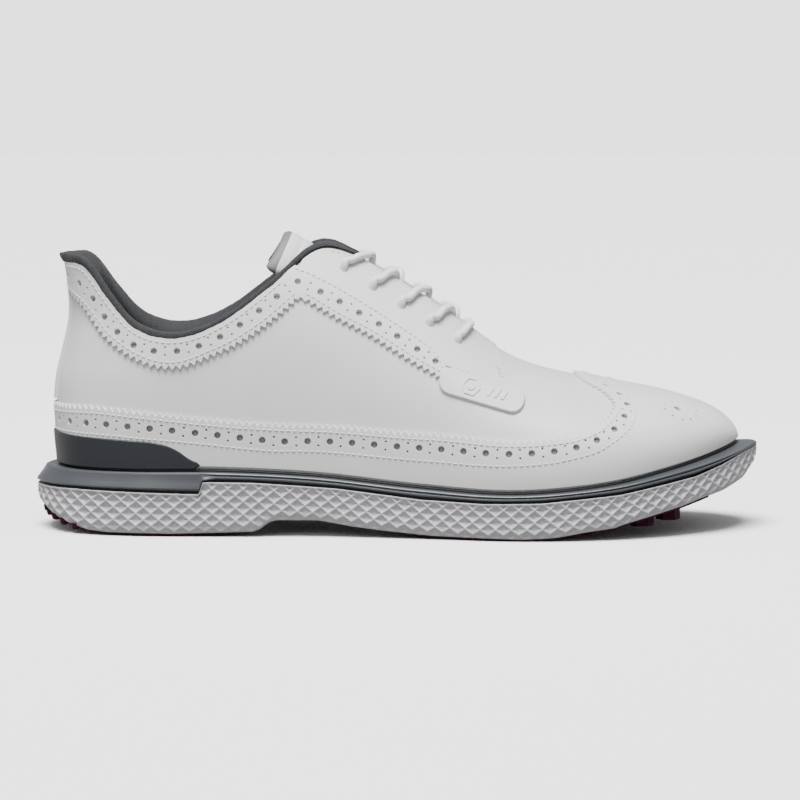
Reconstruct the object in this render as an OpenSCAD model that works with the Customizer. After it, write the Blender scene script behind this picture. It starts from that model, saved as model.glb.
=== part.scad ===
// Golf shoe for the right foot: long-wing brogue upper on a cupped foam sole.
// Millimetres, +X towards the toe, +Y towards the inner side, +Z up, ground at Z = 0.
// The upper is one smooth surface addressed by a station t and a rise angle phi.
// Station 0 is the back of the heel and station 10 the tip of the toe.
// Angle 0 is the feather line where the upper meets the sole, angle 90 is the ridge.

/* [Leather] */
// skin thickness of the leather upper
skin_t = 1.2; // [0.9:0.1:1.3]
// thickness of the leather strips laid over the upper
strip_t = 1.0; // [0.6:0.1:1.2]
// clear gap kept between neighbouring layers
gap = 0.3; // [0.3:0.05:0.5]

/* [Lacing] */
// radius of the round lace
lace_r = 1.25; // [0.9:0.05:1.3]
// radius of the punched lace holes
eyelet_r = 3; // [2.2:0.1:3.2]

/* [Collar] */
// depth of the padded collar at the heel
roll_heel = 5; // [2:0.5:6]
// depth of the padded collar at the ankle dip
roll_dip = 3.6; // [2:0.2:5]

/* [Sole] */
// width of the sole ledge beyond the upper at the ball
ledge_ball = 7; // [5:0.5:9]
// thickness of the insole foam
insole_t = 4.5; // [3:0.5:6]
// radius of the ground lugs
lug_r = 5; // [3:0.5:7]

/* [View] */
// name of the piece to draw, or all

/* [Hidden] */

lat = -1;
med = 1;

// surface knots, one value per whole station
foot_x = [-139.5, -131, -108, -72, -32, 10, 48, 85, 114, 134.5, 143.2];
foot_lat = [0, -22, -33, -35.5, -36, -42.5, -50, -47.5, -35.5, -17, 4];
foot_med = [0, 21.5, 32, 31, 29, 39.5, 50.5, 49.5, 38, 24, 4];
foot_z = [28.5, 28.5, 28.5, 28.5, 26.5, 22.5, 20.7, 23.7, 29.5, 34.6, 37.3];
ridge_z = [134, 133, 131, 129.5, 122.7, 99.8, 72.2, 61.4, 55.2, 47.8, 37.3];
ridge_y = [0, 0, 0, 0, 0, 0.5, 3, 7, 9.5, 8.5, 4];
fan = [36, 28, 10, 0, 0, 0, 0, 0, 0, 0, 0];
round_a = [1, 1, 1, 1, 1, 1, 0.97, 0.92, 0.88, 0.88, 0.9];
heel_mix = [1, 0.8, 0.35, 0, 0, 0, 0, 0, 0, 0, 0];
heel_in = [-1.5, -2.6, -3.2, -2.1, 0.8, 3.2, 2.9, 1.3, -0.5];
collar_z = [110, 110.5, 108.7, 96.3, 84.3, 80.7, 87.1, 101, 116.9, 112];
// how far the sole ledge stands out, one value per whole station
ledge = [11.7, 9, 6.8, 6.2, 6.2, 6.4, ledge_ball, ledge_ball, 7.6, 8.6, 9.2];

function cr(a, b, c, d, f) =
  0.5 * (2 * b + (c - a) * f + (2 * a - 5 * b + 4 * c - d) * f * f + (3 * b - a - 3 * c + d) * f * f * f);
function seg(v, t) = min(max(floor(t), 0), len(v) - 2);
function around(v, w, t) =
  let (n = len(v) - 1, i = seg(v, t))
  cr(i > 0 ? v[i - 1] : w[1], v[i], v[i + 1], i + 2 <= n ? v[i + 2] : w[n - 1], t - i);
function along(v, t) =
  let (n = len(v) - 1, i = seg(v, t))
  cr(i > 0 ? v[i - 1] : 2 * v[0] - v[1], v[i], v[i + 1], i + 2 <= n ? v[i + 2] : 2 * v[n] - v[n - 1], t - i);
function foot_y(s, t) = s < 0 ? around(foot_lat, foot_med, t) : around(foot_med, foot_lat, t);
function z_foot(t) = around(foot_z, foot_z, t);
function ridge(t) = [around(foot_x, foot_x, t) + max(along(fan, t), 0), along(ridge_z, t)];

// outward plan normal of the feather line
function plan_n(s, t) =
  let (a = max(t - 0.001, 0), b = min(t + 0.001, 10))
  let (d = [around(foot_x, foot_x, b) - around(foot_x, foot_x, a), foot_y(s, b) - foot_y(s, a)])
  t >= 10 ? [1, 0] : t <= 0 ? [-1, 0] : [-s * d[1], s * d[0]] / norm(d);
// feather line moved outwards in plan
function plan(s, t, off) = [around(foot_x, foot_x, t), foot_y(s, t)] + off * plan_n(s, t);
// normal of the ridge curve in its own plane
function ridge_n(t) =
  let (d = ridge(min(t + 0.001, 10)) - ridge(max(t - 0.001, 0)))
  t >= 10 ? [1, 0] : t < 2 ? [0, 1] : [-d[1], d[0]] / norm(d);

// point of the upper at station t, angle p, side s, moved out by off
function skin(s, t, p, off) =
  let (f = plan(s, t, off), rn = ridge_n(t), r = ridge(t) + off * rn, cy = along(ridge_y, t))
  let (b = norm([r[0] - f[0], cy - f[1]]), z0 = z_foot(t), ea = along(round_a, t))
  let (c = max(cos(p), 0), q = max(sin(p), 0), z = z0 + (r[1] - z0) * pow(q, ea))
  let (k0 = 1 - pow(c, ea) - 2.2 / max(b, 30) * sin(2 * p) * c, hw = max(along(heel_mix, t), 0))
  let (k = k0 * (1 - hw) + hw * along(heel_in, (z - 28.5) / 12) / max(b, 0.001))
  [f[0] * (1 - k) + r[0] * k, f[1] * (1 - k) + cy * k, z];
// angle at which the upper reaches height z
function rise_at(t, z) =
  asin(min(1, pow(max(0, (z - z_foot(t)) / max(ridge(t)[1] - z_foot(t), 0.01)), 1 / along(round_a, t))));
// angle of the collar and lacing edge, 90 where the vamp is closed
function edge_p(t) =
  let (q = min(max((along(collar_z, min(t * 2, 9)) - z_foot(t)) / (ridge(t)[1] - z_foot(t)), 0), 1))
  let (g = 0.2 * (1 - pow(min(max((max(t, 4.2) - 4.2) / 1.65, 0), 1), 4)))
  t >= 5.85 ? 90 : acos(max(t < 4.6 ? sqrt(1 - q * q) : 0, g));

function flip(f) = [for (k = [len(f) - 1:-1:0]) f[k]];
function tris(q) = [for (f = [[q[0], q[1], q[2]], [q[0], q[2], q[3]]])
  if (f[0] != f[1] && f[1] != f[2] && f[2] != f[0]) flip(f)];

// solid between two grids of points; with join > 0 both ends close at a tip and
// the last column is shared by the first and last join rows
module sheet_solid(po, pi, join = 0) {
  n = len(po) - 1;
  m = len(po[0]) - 1;
  w = (n + 1) * (m + 1);
  function id(l, i, j) = join > 0 && (i == 0 || i == n) ? l * w
    : join > 0 && j == m && (i <= join || i >= n - join) ? l * w + min(i, n - i) * (m + 1) + m
    : l * w + i * (m + 1) + j;
  top = [for (i = [0:n - 1]) if (join == 0 || (i >= join && i < n - join)) i];
  faces = [
    for (i = [0:n - 1], j = [0:m - 1]) each
      tris([id(0, i, j), id(0, i + 1, j), id(0, i + 1, j + 1), id(0, i, j + 1)]),
    for (i = [0:n - 1], j = [0:m - 1]) each
      tris([id(1, i, j + 1), id(1, i + 1, j + 1), id(1, i + 1, j), id(1, i, j)]),
    for (i = [0:n - 1]) each tris([id(0, i + 1, 0), id(0, i, 0), id(1, i, 0), id(1, i + 1, 0)]),
    for (i = top) each tris([id(0, i, m), id(0, i + 1, m), id(1, i + 1, m), id(1, i, m)]),
    if (join == 0) for (j = [0:m - 1]) each
      tris([id(0, 0, j), id(0, 0, j + 1), id(1, 0, j + 1), id(1, 0, j)]),
    if (join == 0) for (j = [0:m - 1]) each
      tris([id(0, n, j + 1), id(0, n, j), id(1, n, j), id(1, n, j + 1)])
  ];
  polyhedron(points = [for (g = [po, pi]) for (r = g) each r], faces = faces);
}

// solid through a stack of closed rings; mirror caps pair the two sides of a ring
module ring_solid(rings, paired = false) {
  n = len(rings) - 1;
  m = len(rings[0]);
  walls = [for (i = [0:n - 1], j = [0:m - 1]) each
    tris([i * m + j, i * m + (j + 1) % m, (i + 1) * m + (j + 1) % m, (i + 1) * m + j])];
  function pair(j) = (m - j) % m;
  caps = paired
    ? [for (j = [0:m / 2 - 1]) each concat(
        tris([j + 1, j, pair(j), pair(j + 1)]),
        tris([n * m + j, n * m + j + 1, n * m + pair(j + 1), n * m + pair(j)]))]
    : [for (j = [1:m - 2]) each
      concat(tris([0, j + 1, j, j]), tris([n * m, n * m + j, n * m + j + 1, n * m]))];
  polyhedron(points = [for (r = rings) each r], faces = concat(walls, caps));
}

// both sides in one list of rows, from the inner end round the heel to the outer end;
// each row is station and angle at its foot, then station and angle at its top
function wrap_grid(rows, m, off) =
  let (n = len(rows) - 1)
  [for (k = [-n:n]) let (s = k < 0 ? med : lat, r = rows[abs(k)], o = is_num(off) ? off : off(r[0]))
    [for (j = [0:m]) let (f = j / m) skin(s, r[0] + (r[2] - r[0]) * f, r[1] + (r[3] - r[1]) * f, o)]];
function side_grid(s, rows, m, off) =
  let (n = len(rows) - 1)
  [for (k = [0:n]) let (r = s < 0 ? rows[k] : rows[n - k])
    [for (j = [0:m]) let (f = j / m) skin(s, r[0] + (r[2] - r[0]) * f, r[1] + (r[3] - r[1]) * f, off)]];

// resample a short list of row corners smoothly into n steps
function row_at(v, u) = [for (c = [0:3]) along([for (r = v) r[c]], u)];
function resample(v, n) = [for (k = [0:n]) row_at(v, k / n * (len(v) - 1))];
function steps(a, b, n) = [for (k = [0:n]) a + (b - a) * k / n];

// layer depths measured from the outer face of the upper
strip_in = -0.2;
strip_out = strip_in + strip_t;
skin_out = strip_in - gap;
skin_in = skin_out - skin_t;
stiff_out = skin_in - gap;
stiff_in = stiff_out - 1;
lining_t = 0.9;
heel_lining = stiff_in - gap;

// upper
open_end = 5.85;
shell_t = concat([0, 0.25, 0.5, 0.8], steps(1.1, 5.6, 24), [open_end], steps(6.1, 9.3, 15),
  [9.45, 9.6, 9.72, 9.84, 9.93, 10]);
function closed_rows(ts) = len([for (t = ts) if (t >= open_end) t]) - 1;

module lace_holes() {
  for (s = [lat, med], r = eyelets) {
    a = skin(s, r[0], r[1], -8);
    b = skin(s, r[0], r[1], 4);
    d = b - a;
    translate(a)
      rotate([0, acos(d[2] / norm(d)), atan2(d[1], d[0])])
        cylinder(r = eyelet_r, h = norm(d), $fn = 10);
  }
}
eyelets = [[4.25, 64.5], [4.53, 62], [4.81, 60.5], [5.1, 59.5], [5.4, 60.5]];

module upper_shell() {
  color([0.87, 0.86, 0.85])
    difference() {
      rows = [for (t = shell_t) [t, 0, t, edge_p(t)]];
      sheet_solid(wrap_grid(rows, 9, skin_out), wrap_grid(rows, 9, skin_in), closed_rows(shell_t));
      lace_holes();
    }
}

// wing: station and angle along its upper edge, and the feather station below each
wing_edge = [[0, 12.4], [0.7, 12.8], [1.5, 13.2], [2.24, 12.2], [2.79, 11], [3.33, 10.5], [3.9, 11],
  [4.73, 13.8], [5.54, 18.5], [6.34, 23.8], [6.66, 26.5], [6.85, 30.2], [7, 35.8], [7.11, 43.5],
  [7.18, 51.8], [7.13, 58.5], [7.03, 65.5], [6.86, 73], [6.74, 90]];
wing_foot = [0, 0.7, 1.5, 2.24, 2.79, 3.33, 3.9, 4.73, 5.54, 6.34, 6.75, 7.05, 7.4, 7.75, 8.1, 8.4, 8.7,
  8.95, 9.2];
// rows from the centre peak of the wing to the toe tip
wing_toe = [[9.3, 1.3, 7.2, 90], [9.4, 1.5, 7.65, 90], [9.5, 1.8, 8.1, 90], [9.6, 2.2, 8.5, 90],
  [9.7, 3, 8.9, 90], [9.8, 4, 9.25, 90], [9.88, 6, 9.55, 90], [9.95, 10, 9.8, 90], [10, 90, 10, 90]];
// the wing stops above the heel cup and reaches the feather line in front of it
cup_t = [0, 0.3, 0.6, 1, 1.4, 1.8, 2.1, 2.25, 2.43, 2.52, 2.58];
cup_top = [[0, 6.4], [0.5, 6.2], [1.1, 6], [1.6, 5.8], [2.25, 5.35], [2.43, 4.4], [2.52, 3.3],
  [2.58, 2.1], [2.75, 0.6]];

module wing_overlay() {
  edge_rows = [for (k = [5:len(wing_edge) - 1]) [wing_foot[k], 1.2, wing_edge[k][0], wing_edge[k][1]]];
  front = concat([[2.76, 1.2, 2.7, 11.2], [3, 1.2, 3, 10.8]], edge_rows);
  n = 38;
  rows = concat([[2.76, 1.2, 2.7, 11.2]], [for (k = [1:n]) row_at(front, k / n * (len(front) - 1))],
    wing_toe);
  color([0.89, 0.88, 0.87])
    sheet_solid(wing_wrap(rows, 9, strip_out), wing_wrap(rows, 9, strip_in), len(wing_toe));
}
// the two wings meet at the toe and end in front of the heel cup
function wing_wrap(rows, m, off) =
  let (n = len(rows) - 1, back = flip([for (k = [1:len(cup_t) - 1]) cup_t[k]]))
  let (heel_rows = [for (t = back) [t, wing_low(t), t, wing_high(t)]])
  let (all = concat([for (k = [n:-1:0]) [med, rows[k]]], [for (r = heel_rows) [med, r]],
    [[lat, [0, wing_low(0), 0, wing_high(0)]]], [for (r = flip(heel_rows)) [lat, r]],
    [for (k = [0:n]) [lat, rows[k]]]))
  [for (e = all) let (r = e[1])
    [for (j = [0:m]) let (f = j / m) skin(e[0], r[0] + (r[2] - r[0]) * f, r[1] + (r[3] - r[1]) * f, off)]];
// behind the front end of the cup the wing is a band that runs above the cup
function wing_high(t) = lookup(t, wing_edge);
function wing_low(t) = lookup(t, cup_top) + 0.6;

module heel_cup() {
  rows = [for (t = cup_t) [t, 0.5, t, lookup(t, cup_top) - 0.3]];
  color([0.2, 0.22, 0.24])
    sheet_solid(wrap_grid(rows, 4, strip_out + 0.6), wrap_grid(rows, 4, strip_in + 0.3));
}

// collar band: lower edge then upper edge, following the collar and turning down the facing
band = [[0.3, 41.5, 0.3, 50.3], [0.87, 38.5, 0.75, 49.6], [1.37, 32.5, 1.25, 44.2], [1.87, 26.8, 1.75, 35.5],
  [2.36, 23.5, 2.3, 31.5], [2.84, 26.1, 2.8, 33.2], [3.3, 32.6, 3.2, 38.6], [3.62, 40, 3.5, 46.5],
  [3.82, 46.4, 3.74, 56.4], [4.1, 43.6, 4.02, 55.7], [4.54, 41.3, 4.4, 53.2], [4.92, 38.3, 4.78, 51.2],
  [5.12, 37.4, 5.14, 48]];
module collar_band(s) {
  rows = [for (r = resample(band, 40)) [r[0], r[1], r[2], min(r[3], edge_p(r[2]) - 0.6)]];
  color([0.9, 0.89, 0.88])
    sheet_solid(side_grid(s, rows, 3, strip_out), side_grid(s, rows, 3, strip_in));
}
module collar_band_lateral() collar_band(lat);
module collar_band_medial() collar_band(med);

// facing: strip of leather that carries the lace holes on each side
facing = [[3.95, 57, 3.95, 66], [4.25, 55.4, 4.2, 73], [4.6, 53.3, 4.6, 77], [4.95, 51.4, 5, 78],
  [5.3, 47.4, 5.35, 77.5], [5.6, 49.2, 5.65, 79.5], [5.88, 53.2, 5.78, 82]];
module facing(s) {
  rows = resample(facing, 26);
  color([0.88, 0.87, 0.86])
    difference() {
      sheet_solid(side_grid(s, rows, 4, strip_out), side_grid(s, rows, 4, strip_in));
      lace_holes();
    }
}
module facing_lateral() facing(lat);
module facing_medial() facing(med);

// tab at the front end of the collar band on the outer side
module side_tab() {
  rows = resample([[5.2, 34, 5.22, 36.8], [5.27, 32, 5.31, 41.6], [5.4, 32.4, 5.44, 43.4],
    [5.6, 33.3, 5.65, 46], [5.8, 34.4, 5.86, 48.4], [5.97, 35.6, 6.03, 50.6],
    [6.08, 38, 6.11, 49.2], [6.13, 41, 6.15, 46.4]], 21);
  color([0.88, 0.87, 0.86])
    sheet_solid(side_grid(lat, rows, 4, strip_out + 0.2), side_grid(lat, rows, 4, strip_in));
}

module heel_backstay() {
  rows = steps(17, 49, 12);
  w = 0.2;
  color([0.88, 0.87, 0.86])
    sheet_solid(
      [for (t = [-w, 0, w]) [for (p = rows) skin(t < 0 ? med : lat, abs(t), p, strip_out)]],
      [for (t = [-w, 0, w]) [for (p = rows) skin(t < 0 ? med : lat, abs(t), p, strip_in)]]);
}

// collar padding and rear lining, addressed by depth and height from the collar edge
roll_end = 4.1;
function roll_d(t) = along([roll_heel, roll_heel, roll_dip + 0.6, roll_dip, 0.8, 0], min(max(t, 0), 5));
function roll_h(t) = along([4.6, 4.8, 4, 2.8, 2.4, 2], min(max(t, 0), 5));
function at_collar(s, t, a, u) =
  let (p = edge_p(t), e = skin(s, t, p, a))
  let (up = skin(s, t, p, 0) - skin(s, t, p - 2, 0))
  u > 0 ? e + u * up / norm(up) : skin(s, t, rise_at(t, e[2] + u), a);
function roll_face(t) = let (d = roll_d(t), h = roll_h(t), o = heel_lining - lining_t)
  [[o, -30], [o - 0.35 * d, -20], [o + 0.3 - 0.8 * d, -10], [o + 0.5 - d, -3.5],
   [o + 0.9 - 0.85 * d, 0.5 * h],
   [o + 1.8 - 0.45 * d, 0.95 * h], [-0.6, h], [strip_out, 0.6 * h], [strip_out, 0.55]];
function roll_back(t) = let (d = roll_d(t), h = roll_h(t), o = heel_lining)
  [[o, -30], [o - 0.35 * d, -20], [o + 0.3 - 0.8 * d, -10.2], [o + 0.5 - d, -3.7],
   [o + 0.9 - 0.85 * d, 0.5 * h - 0.5], [o + 1.5 - 0.4 * d, 0.95 * h - 0.9], [-0.9, h - 0.9],
   [0, 0.5 * h], [0, 0.55]];
function lining_low(t) = rise_at(t, z_foot(t) + 0.6);
function lining_row(s, t, prof, off) =
  let (z = skin(s, t, edge_p(t), off)[2], p1 = rise_at(t, z - 32), p0 = lining_low(t))
  concat([for (f = [0, 0.35, 0.7]) skin(s, t, p0 + (p1 - p0) * f, off)],
    [for (q = prof) at_collar(s, t, q[0], q[1])]);
roll_t = concat([0, 0.3, 0.6], steps(0.9, roll_end, 19));
function signed(ts) = concat([for (k = [len(ts) - 1:-1:1]) -ts[k]], ts);
module collar_lining() {
  ts = signed(roll_t);
  color([0.27, 0.28, 0.3])
    sheet_solid(
      [for (t = ts) lining_row(t < 0 ? med : lat, abs(t), roll_back(abs(t)), heel_lining)],
      [for (t = ts) lining_row(t < 0 ? med : lat, abs(t), roll_face(abs(t)), heel_lining - lining_t)]);
}

module collar_foam() {
  foam_t = [for (t = roll_t) if (t < 3.25) t];
  function ring(t) = let (d = roll_d(t), h = roll_h(t), o = heel_lining + gap)
    [[stiff_out, -17], [stiff_out, -9], [stiff_out, -0.2], [o + 1.2 - 0.4 * d, 0.8 * h - 1.8],
     [o + 1.3 - 0.8 * d, -0.6], [o + 1.4 - d, -4.2], [o + 1.1 - 0.8 * d, -10], [o + 0.3 - 0.35 * d, -17]];
  color([0.8, 0.78, 0.6])
    ring_solid([for (t = signed(foam_t))
      [for (q = ring(abs(t))) at_collar(t < 0 ? med : lat, abs(t), q[0], q[1])]]);
}

// front lining, drawn in further under the toe puff
vamp_t = concat(steps(4.16, 5.6, 9), [open_end], steps(6.1, 9.4, 11), [9.6, 9.8, 9.93, 10]);
function front_lining(t) = t < 8 ? stiff_out : stiff_out - (stiff_out - heel_lining) * min(1, (t - 8) * 3);
function split_grid(s, rows, m, extra) =
  [for (r = rows) [for (j = [0:m]) let (f = j / m)
    skin(s, r[0], r[1] + (r[3] - r[1]) * f, front_lining(r[0]) + extra)]];
module vamp_lining() {
  rows = [for (t = vamp_t) [t, t < 9.5 ? lining_low(t) : 3, t, edge_p(t)]];
  color([0.75, 0.74, 0.72])
    difference() {
      front_shell(split_grid(lat, rows, 7, 0), split_grid(med, rows, 7, 0),
        split_grid(lat, rows, 7, -lining_t), split_grid(med, rows, 7, -lining_t), closed_rows(vamp_t));
      lace_holes();
    }
}
// solid whose two sides share a ridge from row c on and close at a tip
module front_shell(ol, om, il, im, closed) {
  n = len(ol) - 1;
  m = len(ol[0]) - 1;
  w = (n + 1) * (m + 1);
  c = n - closed;
  function id(l, s, i, j) = i == n ? l * 2 * w + n * (m + 1)
    : l * 2 * w + (s > 0 && !(j == m && i >= c) ? w : 0) + i * (m + 1) + j;
  function side(l, s, i, j, turn) =
    let (q = [id(l, s, i, j), id(l, s, i + 1, j), id(l, s, i + 1, j + 1), id(l, s, i, j + 1)])
    tris(turn ? flip(q) : q);
  function rim(s, i, j, turn) =
    let (q = [id(0, s, i, j), id(0, s, i + 1, j), id(1, s, i + 1, j), id(1, s, i, j)])
    tris(turn ? flip(q) : q);
  function butt(s, j, turn) =
    let (q = [id(0, s, 0, j), id(0, s, 0, j + 1), id(1, s, 0, j + 1), id(1, s, 0, j)])
    tris(turn ? flip(q) : q);
  faces = [
    for (i = [0:n - 1], j = [0:m - 1]) each side(0, 0, i, j, false),
    for (i = [0:n - 1], j = [0:m - 1]) each side(0, 1, i, j, true),
    for (i = [0:n - 1], j = [0:m - 1]) each side(1, 0, i, j, true),
    for (i = [0:n - 1], j = [0:m - 1]) each side(1, 1, i, j, false),
    for (i = [0:n - 1]) each rim(0, i, 0, true),
    for (i = [0:n - 1]) each rim(1, i, 0, false),
    for (i = [0:1:c - 1]) each rim(0, i, m, false),
    for (i = [0:1:c - 1]) each rim(1, i, m, true),
    for (j = [0:m - 1]) each butt(0, j, false),
    for (j = [0:m - 1]) each butt(1, j, true)
  ];
  polyhedron(points = [for (g = [ol, om, il, im]) for (r = g) each r], faces = faces);
}

module heel_counter() {
  rows = [for (t = concat([0, 0.3, 0.6, 0.9], steps(1.2, 2.9, 8))) [t, 1, t, 17 - 1.5 * t]];
  color([0.6, 0.55, 0.48])
    sheet_solid(wrap_grid(rows, 3, stiff_out), wrap_grid(rows, 3, stiff_in));
}

module toe_puff() {
  ts = concat(steps(8.45, 9.4, 5), [9.6, 9.8, 9.93, 10]);
  function g(s, off) = [for (t = ts) [for (j = [0:5]) skin(s, t, 3 + 87 * j / 5, off)]];
  color([0.6, 0.55, 0.48])
    front_shell(g(lat, stiff_out), g(med, stiff_out), g(lat, stiff_in), g(med, stiff_in), len(ts) - 1);
}

// lace: criss-cross over the tongue with a straight bar at the lowest pair of holes
function hole_point(s, k, dp, off) = skin(s, eyelets[k][0], eyelets[k][1] + dp, off);
over = strip_out + gap + lace_r;
under = stiff_out - lining_t - gap - lace_r - 0.45;
function mid(a, b, f) = a + (b - a) * f;
// short climb through hole k
function rise(s, k) = [hole_point(s, k, -1, mid(under, over, 0.25)),
  hole_point(s, k, -0.2, mid(under, over, 0.6)),
  hole_point(s, k, 0.6, mid(under, over, 0.9)), hole_point(s, k, 1.8, over + 0.1)];
// one pass from hole k on side s, over the edge, under the other facing to hole k + 1
function pass(s, k, lift) =
  let (t0 = eyelets[k][0], t1 = eyelets[k + 1][0], p1 = eyelets[k + 1][1],
    low = eyelets[k][1] + 4.5, brink = edge_p(mid(t0, t1, 0.58)) - 2, far = edge_p(mid(t0, t1, 1.08)))
  concat(rise(s, k), [skin(s, mid(t0, t1, 0.22), low, over + 0.1),
   skin(s, mid(t0, t1, 0.42), mid(low, brink, 0.55), over + 0.15),
   skin(s, mid(t0, t1, 0.58), brink, over + 0.1),
   skin(s, mid(t0, t1, 0.7), edge_p(mid(t0, t1, 0.7)) + 1, over - 0.1),
   skin(s, mid(t0, t1, 0.92), 90, lift), skin(-s, mid(t0, t1, 1.06), far + 2.6, under),
   skin(-s, mid(t0, t1, 1.1), far - 0.6, under), skin(-s, mid(t0, t1, 1.08), mid(far, p1, 0.4), under),
   skin(-s, mid(t0, t1, 1.03), mid(far, p1, 0.75), under), skin(-s, t1, p1 - 0.4, under)]);
function chain(s, lift) = concat(pass(s, 0, lift), pass(-s, 1, lift), pass(s, 2, lift), pass(-s, 3, lift));
function bar_end(s) = concat(rise(s, 4), [skin(s, 5.44, eyelets[4][1] + 5, over + 0.1),
  skin(s, 5.5, 76, over)]);
lift_a = 1.5;
lift_b = -1.4;
function tail(s) = [for (q = [[4.36, 48], [4.33, 51.5], [4.3, 55], [4.27, 58.5], [4.25, 61.5]])
  skin(s, q[0], q[1], under)];
lace_path = concat(tail(lat), chain(lat, lift_a), bar_end(lat), [skin(lat, 5.54, 90, 1)],
  flip(bar_end(med)), flip(chain(med, lift_b)), flip(tail(med)));

function unit(v) = v / max(norm(v), 0.0001);
// rings carried along a path without twist
function carry(p, k, side) =
  let (d = unit(p[min(k + 1, len(p) - 1)] - p[max(k - 1, 0)]), a = unit(side - (side * d) * d))
  k == len(p) - 1 ? [[d, a]] : concat([[d, a]], carry(p, k + 1, a));
module cord(path, r, n) {
  fr = carry(path, 0, unit(cross(unit(path[1] - path[0]), [0.1, 0.2, 1])));
  ring_solid([for (k = [0:len(path) - 1]) [for (q = [0:n - 1]) let (d = fr[k][0], a = fr[k][1])
    path[k] + r * (cos(360 * q / n) * a + sin(360 * q / n) * cross(d, a))]]);
}
module lace() {
  color([0.9, 0.89, 0.87])
    cord(lace_path, lace_r, 7);
}
module aglets() {
  color([0.7, 0.7, 0.68])
    for (s = [lat, med])
      cord([for (p = [47.6, 44, 40.5, 37]) skin(s, 4.36 + (48 - p) * 0.008, p, under)], lace_r - 0.1, 8);
}

// sole
sole_t = concat([0, 0.25, 0.5, 0.8, 1.1], steps(1.4, 2.6, 4), [2.72, 2.78, 2.84, 3, 3.2, 3.34, 3.42, 3.52],
  steps(3.8, 9, 20), [9.3, 9.55, 9.75, 9.9, 10]);
function sole_ring(off, high) =
  let (n = len(sole_t) - 1)
  [for (k = [0:2 * n - 1]) let (i = k <= n ? k : 2 * n - k, s = k <= n ? lat : med, t = sole_t[i])
    let (q = plan(s, t, off(t))) [q[0], q[1], high(t, q[0])]];
function shrink_toe(t) = t > 8.6 ? 3.4 * pow((t - 8.6) / 1.4, 2) : 0;

// bottom edge of the midsole
low = [[-153, 13.5], [-152, 13], [-150, 10], [-145, 7], [-138, 4.4], [-129, 1.9], [-120, 1.2], [-92, 1],
  [-59, 1.9],
  [-56, 3], [-52, 6], [-49, 6.7], [-32, 6.7], [-19, 4.5], [-8, 3.2], [2, 2.3], [14, 1.3], [52, 0.6],
  [65, 1.3], [78, 3.5], [90, 5], [96, 6.8], [118, 12.3], [128, 15.3], [136, 17.2], [145, 20.9],
  [151, 25.4], [153, 29]];
// top of the midsole
high = [[-153, 18.3], [-134, 19], [-120, 18.7], [-81, 17.7], [-79, 22.8], [-59, 22.5], [-24, 20.2],
  [10, 16.4], [35, 15.4],
  [59, 15.8], [92, 18.9], [124, 24.9], [135, 28.6], [145, 32.6], [151, 33.9], [153, 34.2]];
function e_mid(t) = along(ledge, t);
function frame_z(t) = z_foot(t) - 1.8 - gap / 2;
// height of the recess floor under the midsole
recess = 1.7;

module midsole() {
  color([0.79, 0.78, 0.78])
    ring_solid([
      sole_ring(function (t) e_mid(t) - 7.6, function (t, x) lookup(x, low) + recess),
      sole_ring(function (t) e_mid(t) - 7, function (t, x) lookup(x, low) + 0.1),
      sole_ring(function (t) e_mid(t) - 1.6, function (t, x) lookup(x, low) + 0.5),
      sole_ring(function (t) e_mid(t), function (t, x) let (a = lookup(x, low), b = lookup(x, high))
        a + min(3, 0.5 * (b - a))),
      sole_ring(function (t) e_mid(t) - 0.2, function (t, x) lookup(x, high) - 0.9),
      sole_ring(function (t) e_mid(t) - 1, function (t, x) lookup(x, high))
    ], true);
}

function flare(t) = 1 + 3.4 * max(0, 1 - t / 2.6);
module sole_frame() {
  color([0.44, 0.46, 0.48])
    ring_solid([
      sole_ring(function (t) e_mid(t) - 3, function (t, x) lookup(x, high) + gap),
      sole_ring(function (t) e_mid(t) - 2.4, function (t, x) lookup(x, high) + 1.2),
      sole_ring(function (t) e_mid(t) - 0.3, function (t, x) lookup(x, high) + 1.6),
      sole_ring(function (t) e_mid(t) - flare(t), function (t, x) frame_z(t) - 0.6),
      sole_ring(function (t) e_mid(t) - flare(t) - 0.7, function (t, x) frame_z(t))
    ], true);
}

module strobel_board() {
  color([0.85, 0.83, 0.78])
    ring_solid([
      sole_ring(function (t) -0.9, function (t, x) frame_z(t) + gap),
      sole_ring(function (t) -0.9, function (t, x) z_foot(t) - 0.3)
    ], true);
}

// six-sided lug from its ground height up into the pad, its top following the pad
module lugs(list) {
  for (q = list) {
    pts = [for (k = [0:5]) [q[0] + lug_r * cos(60 * k), q[1] + lug_r * sin(60 * k)]];
    ring_solid([[for (p = pts) [p[0], p[1], q[2]]],
      [for (p = pts) [p[0], p[1], lookup(p[0], low) + recess - gap - 0.3]]]);
  }
}
heel_lugs = [for (x = [-119, -101, -83], y = [-24, 0, 24]) [x, y * (x < -110 ? 0.8 : 1), 0]];
ball_lugs = concat([for (x = [18, 38, 58], y = [-33, 0, 33]) [x, y, 0]],
  [for (y = [-39, 0, 41]) [77, y, 1.4]], [for (y = [-33, 1, 35]) [101.5, y, 4.1]],
  [for (y = [-26, 2, 29]) [112.8, y, 5.8]]);
module outsole_heel() {
  color([0.29, 0, 0.19])
    union() {
      outsole_pad(0.9, 3.15);
      lugs(heel_lugs);
    }
}
module outsole_forefoot() {
  color([0.29, 0, 0.19])
    union() {
      outsole_pad(5, 8.55);
      lugs(ball_lugs);
    }
}
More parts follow.
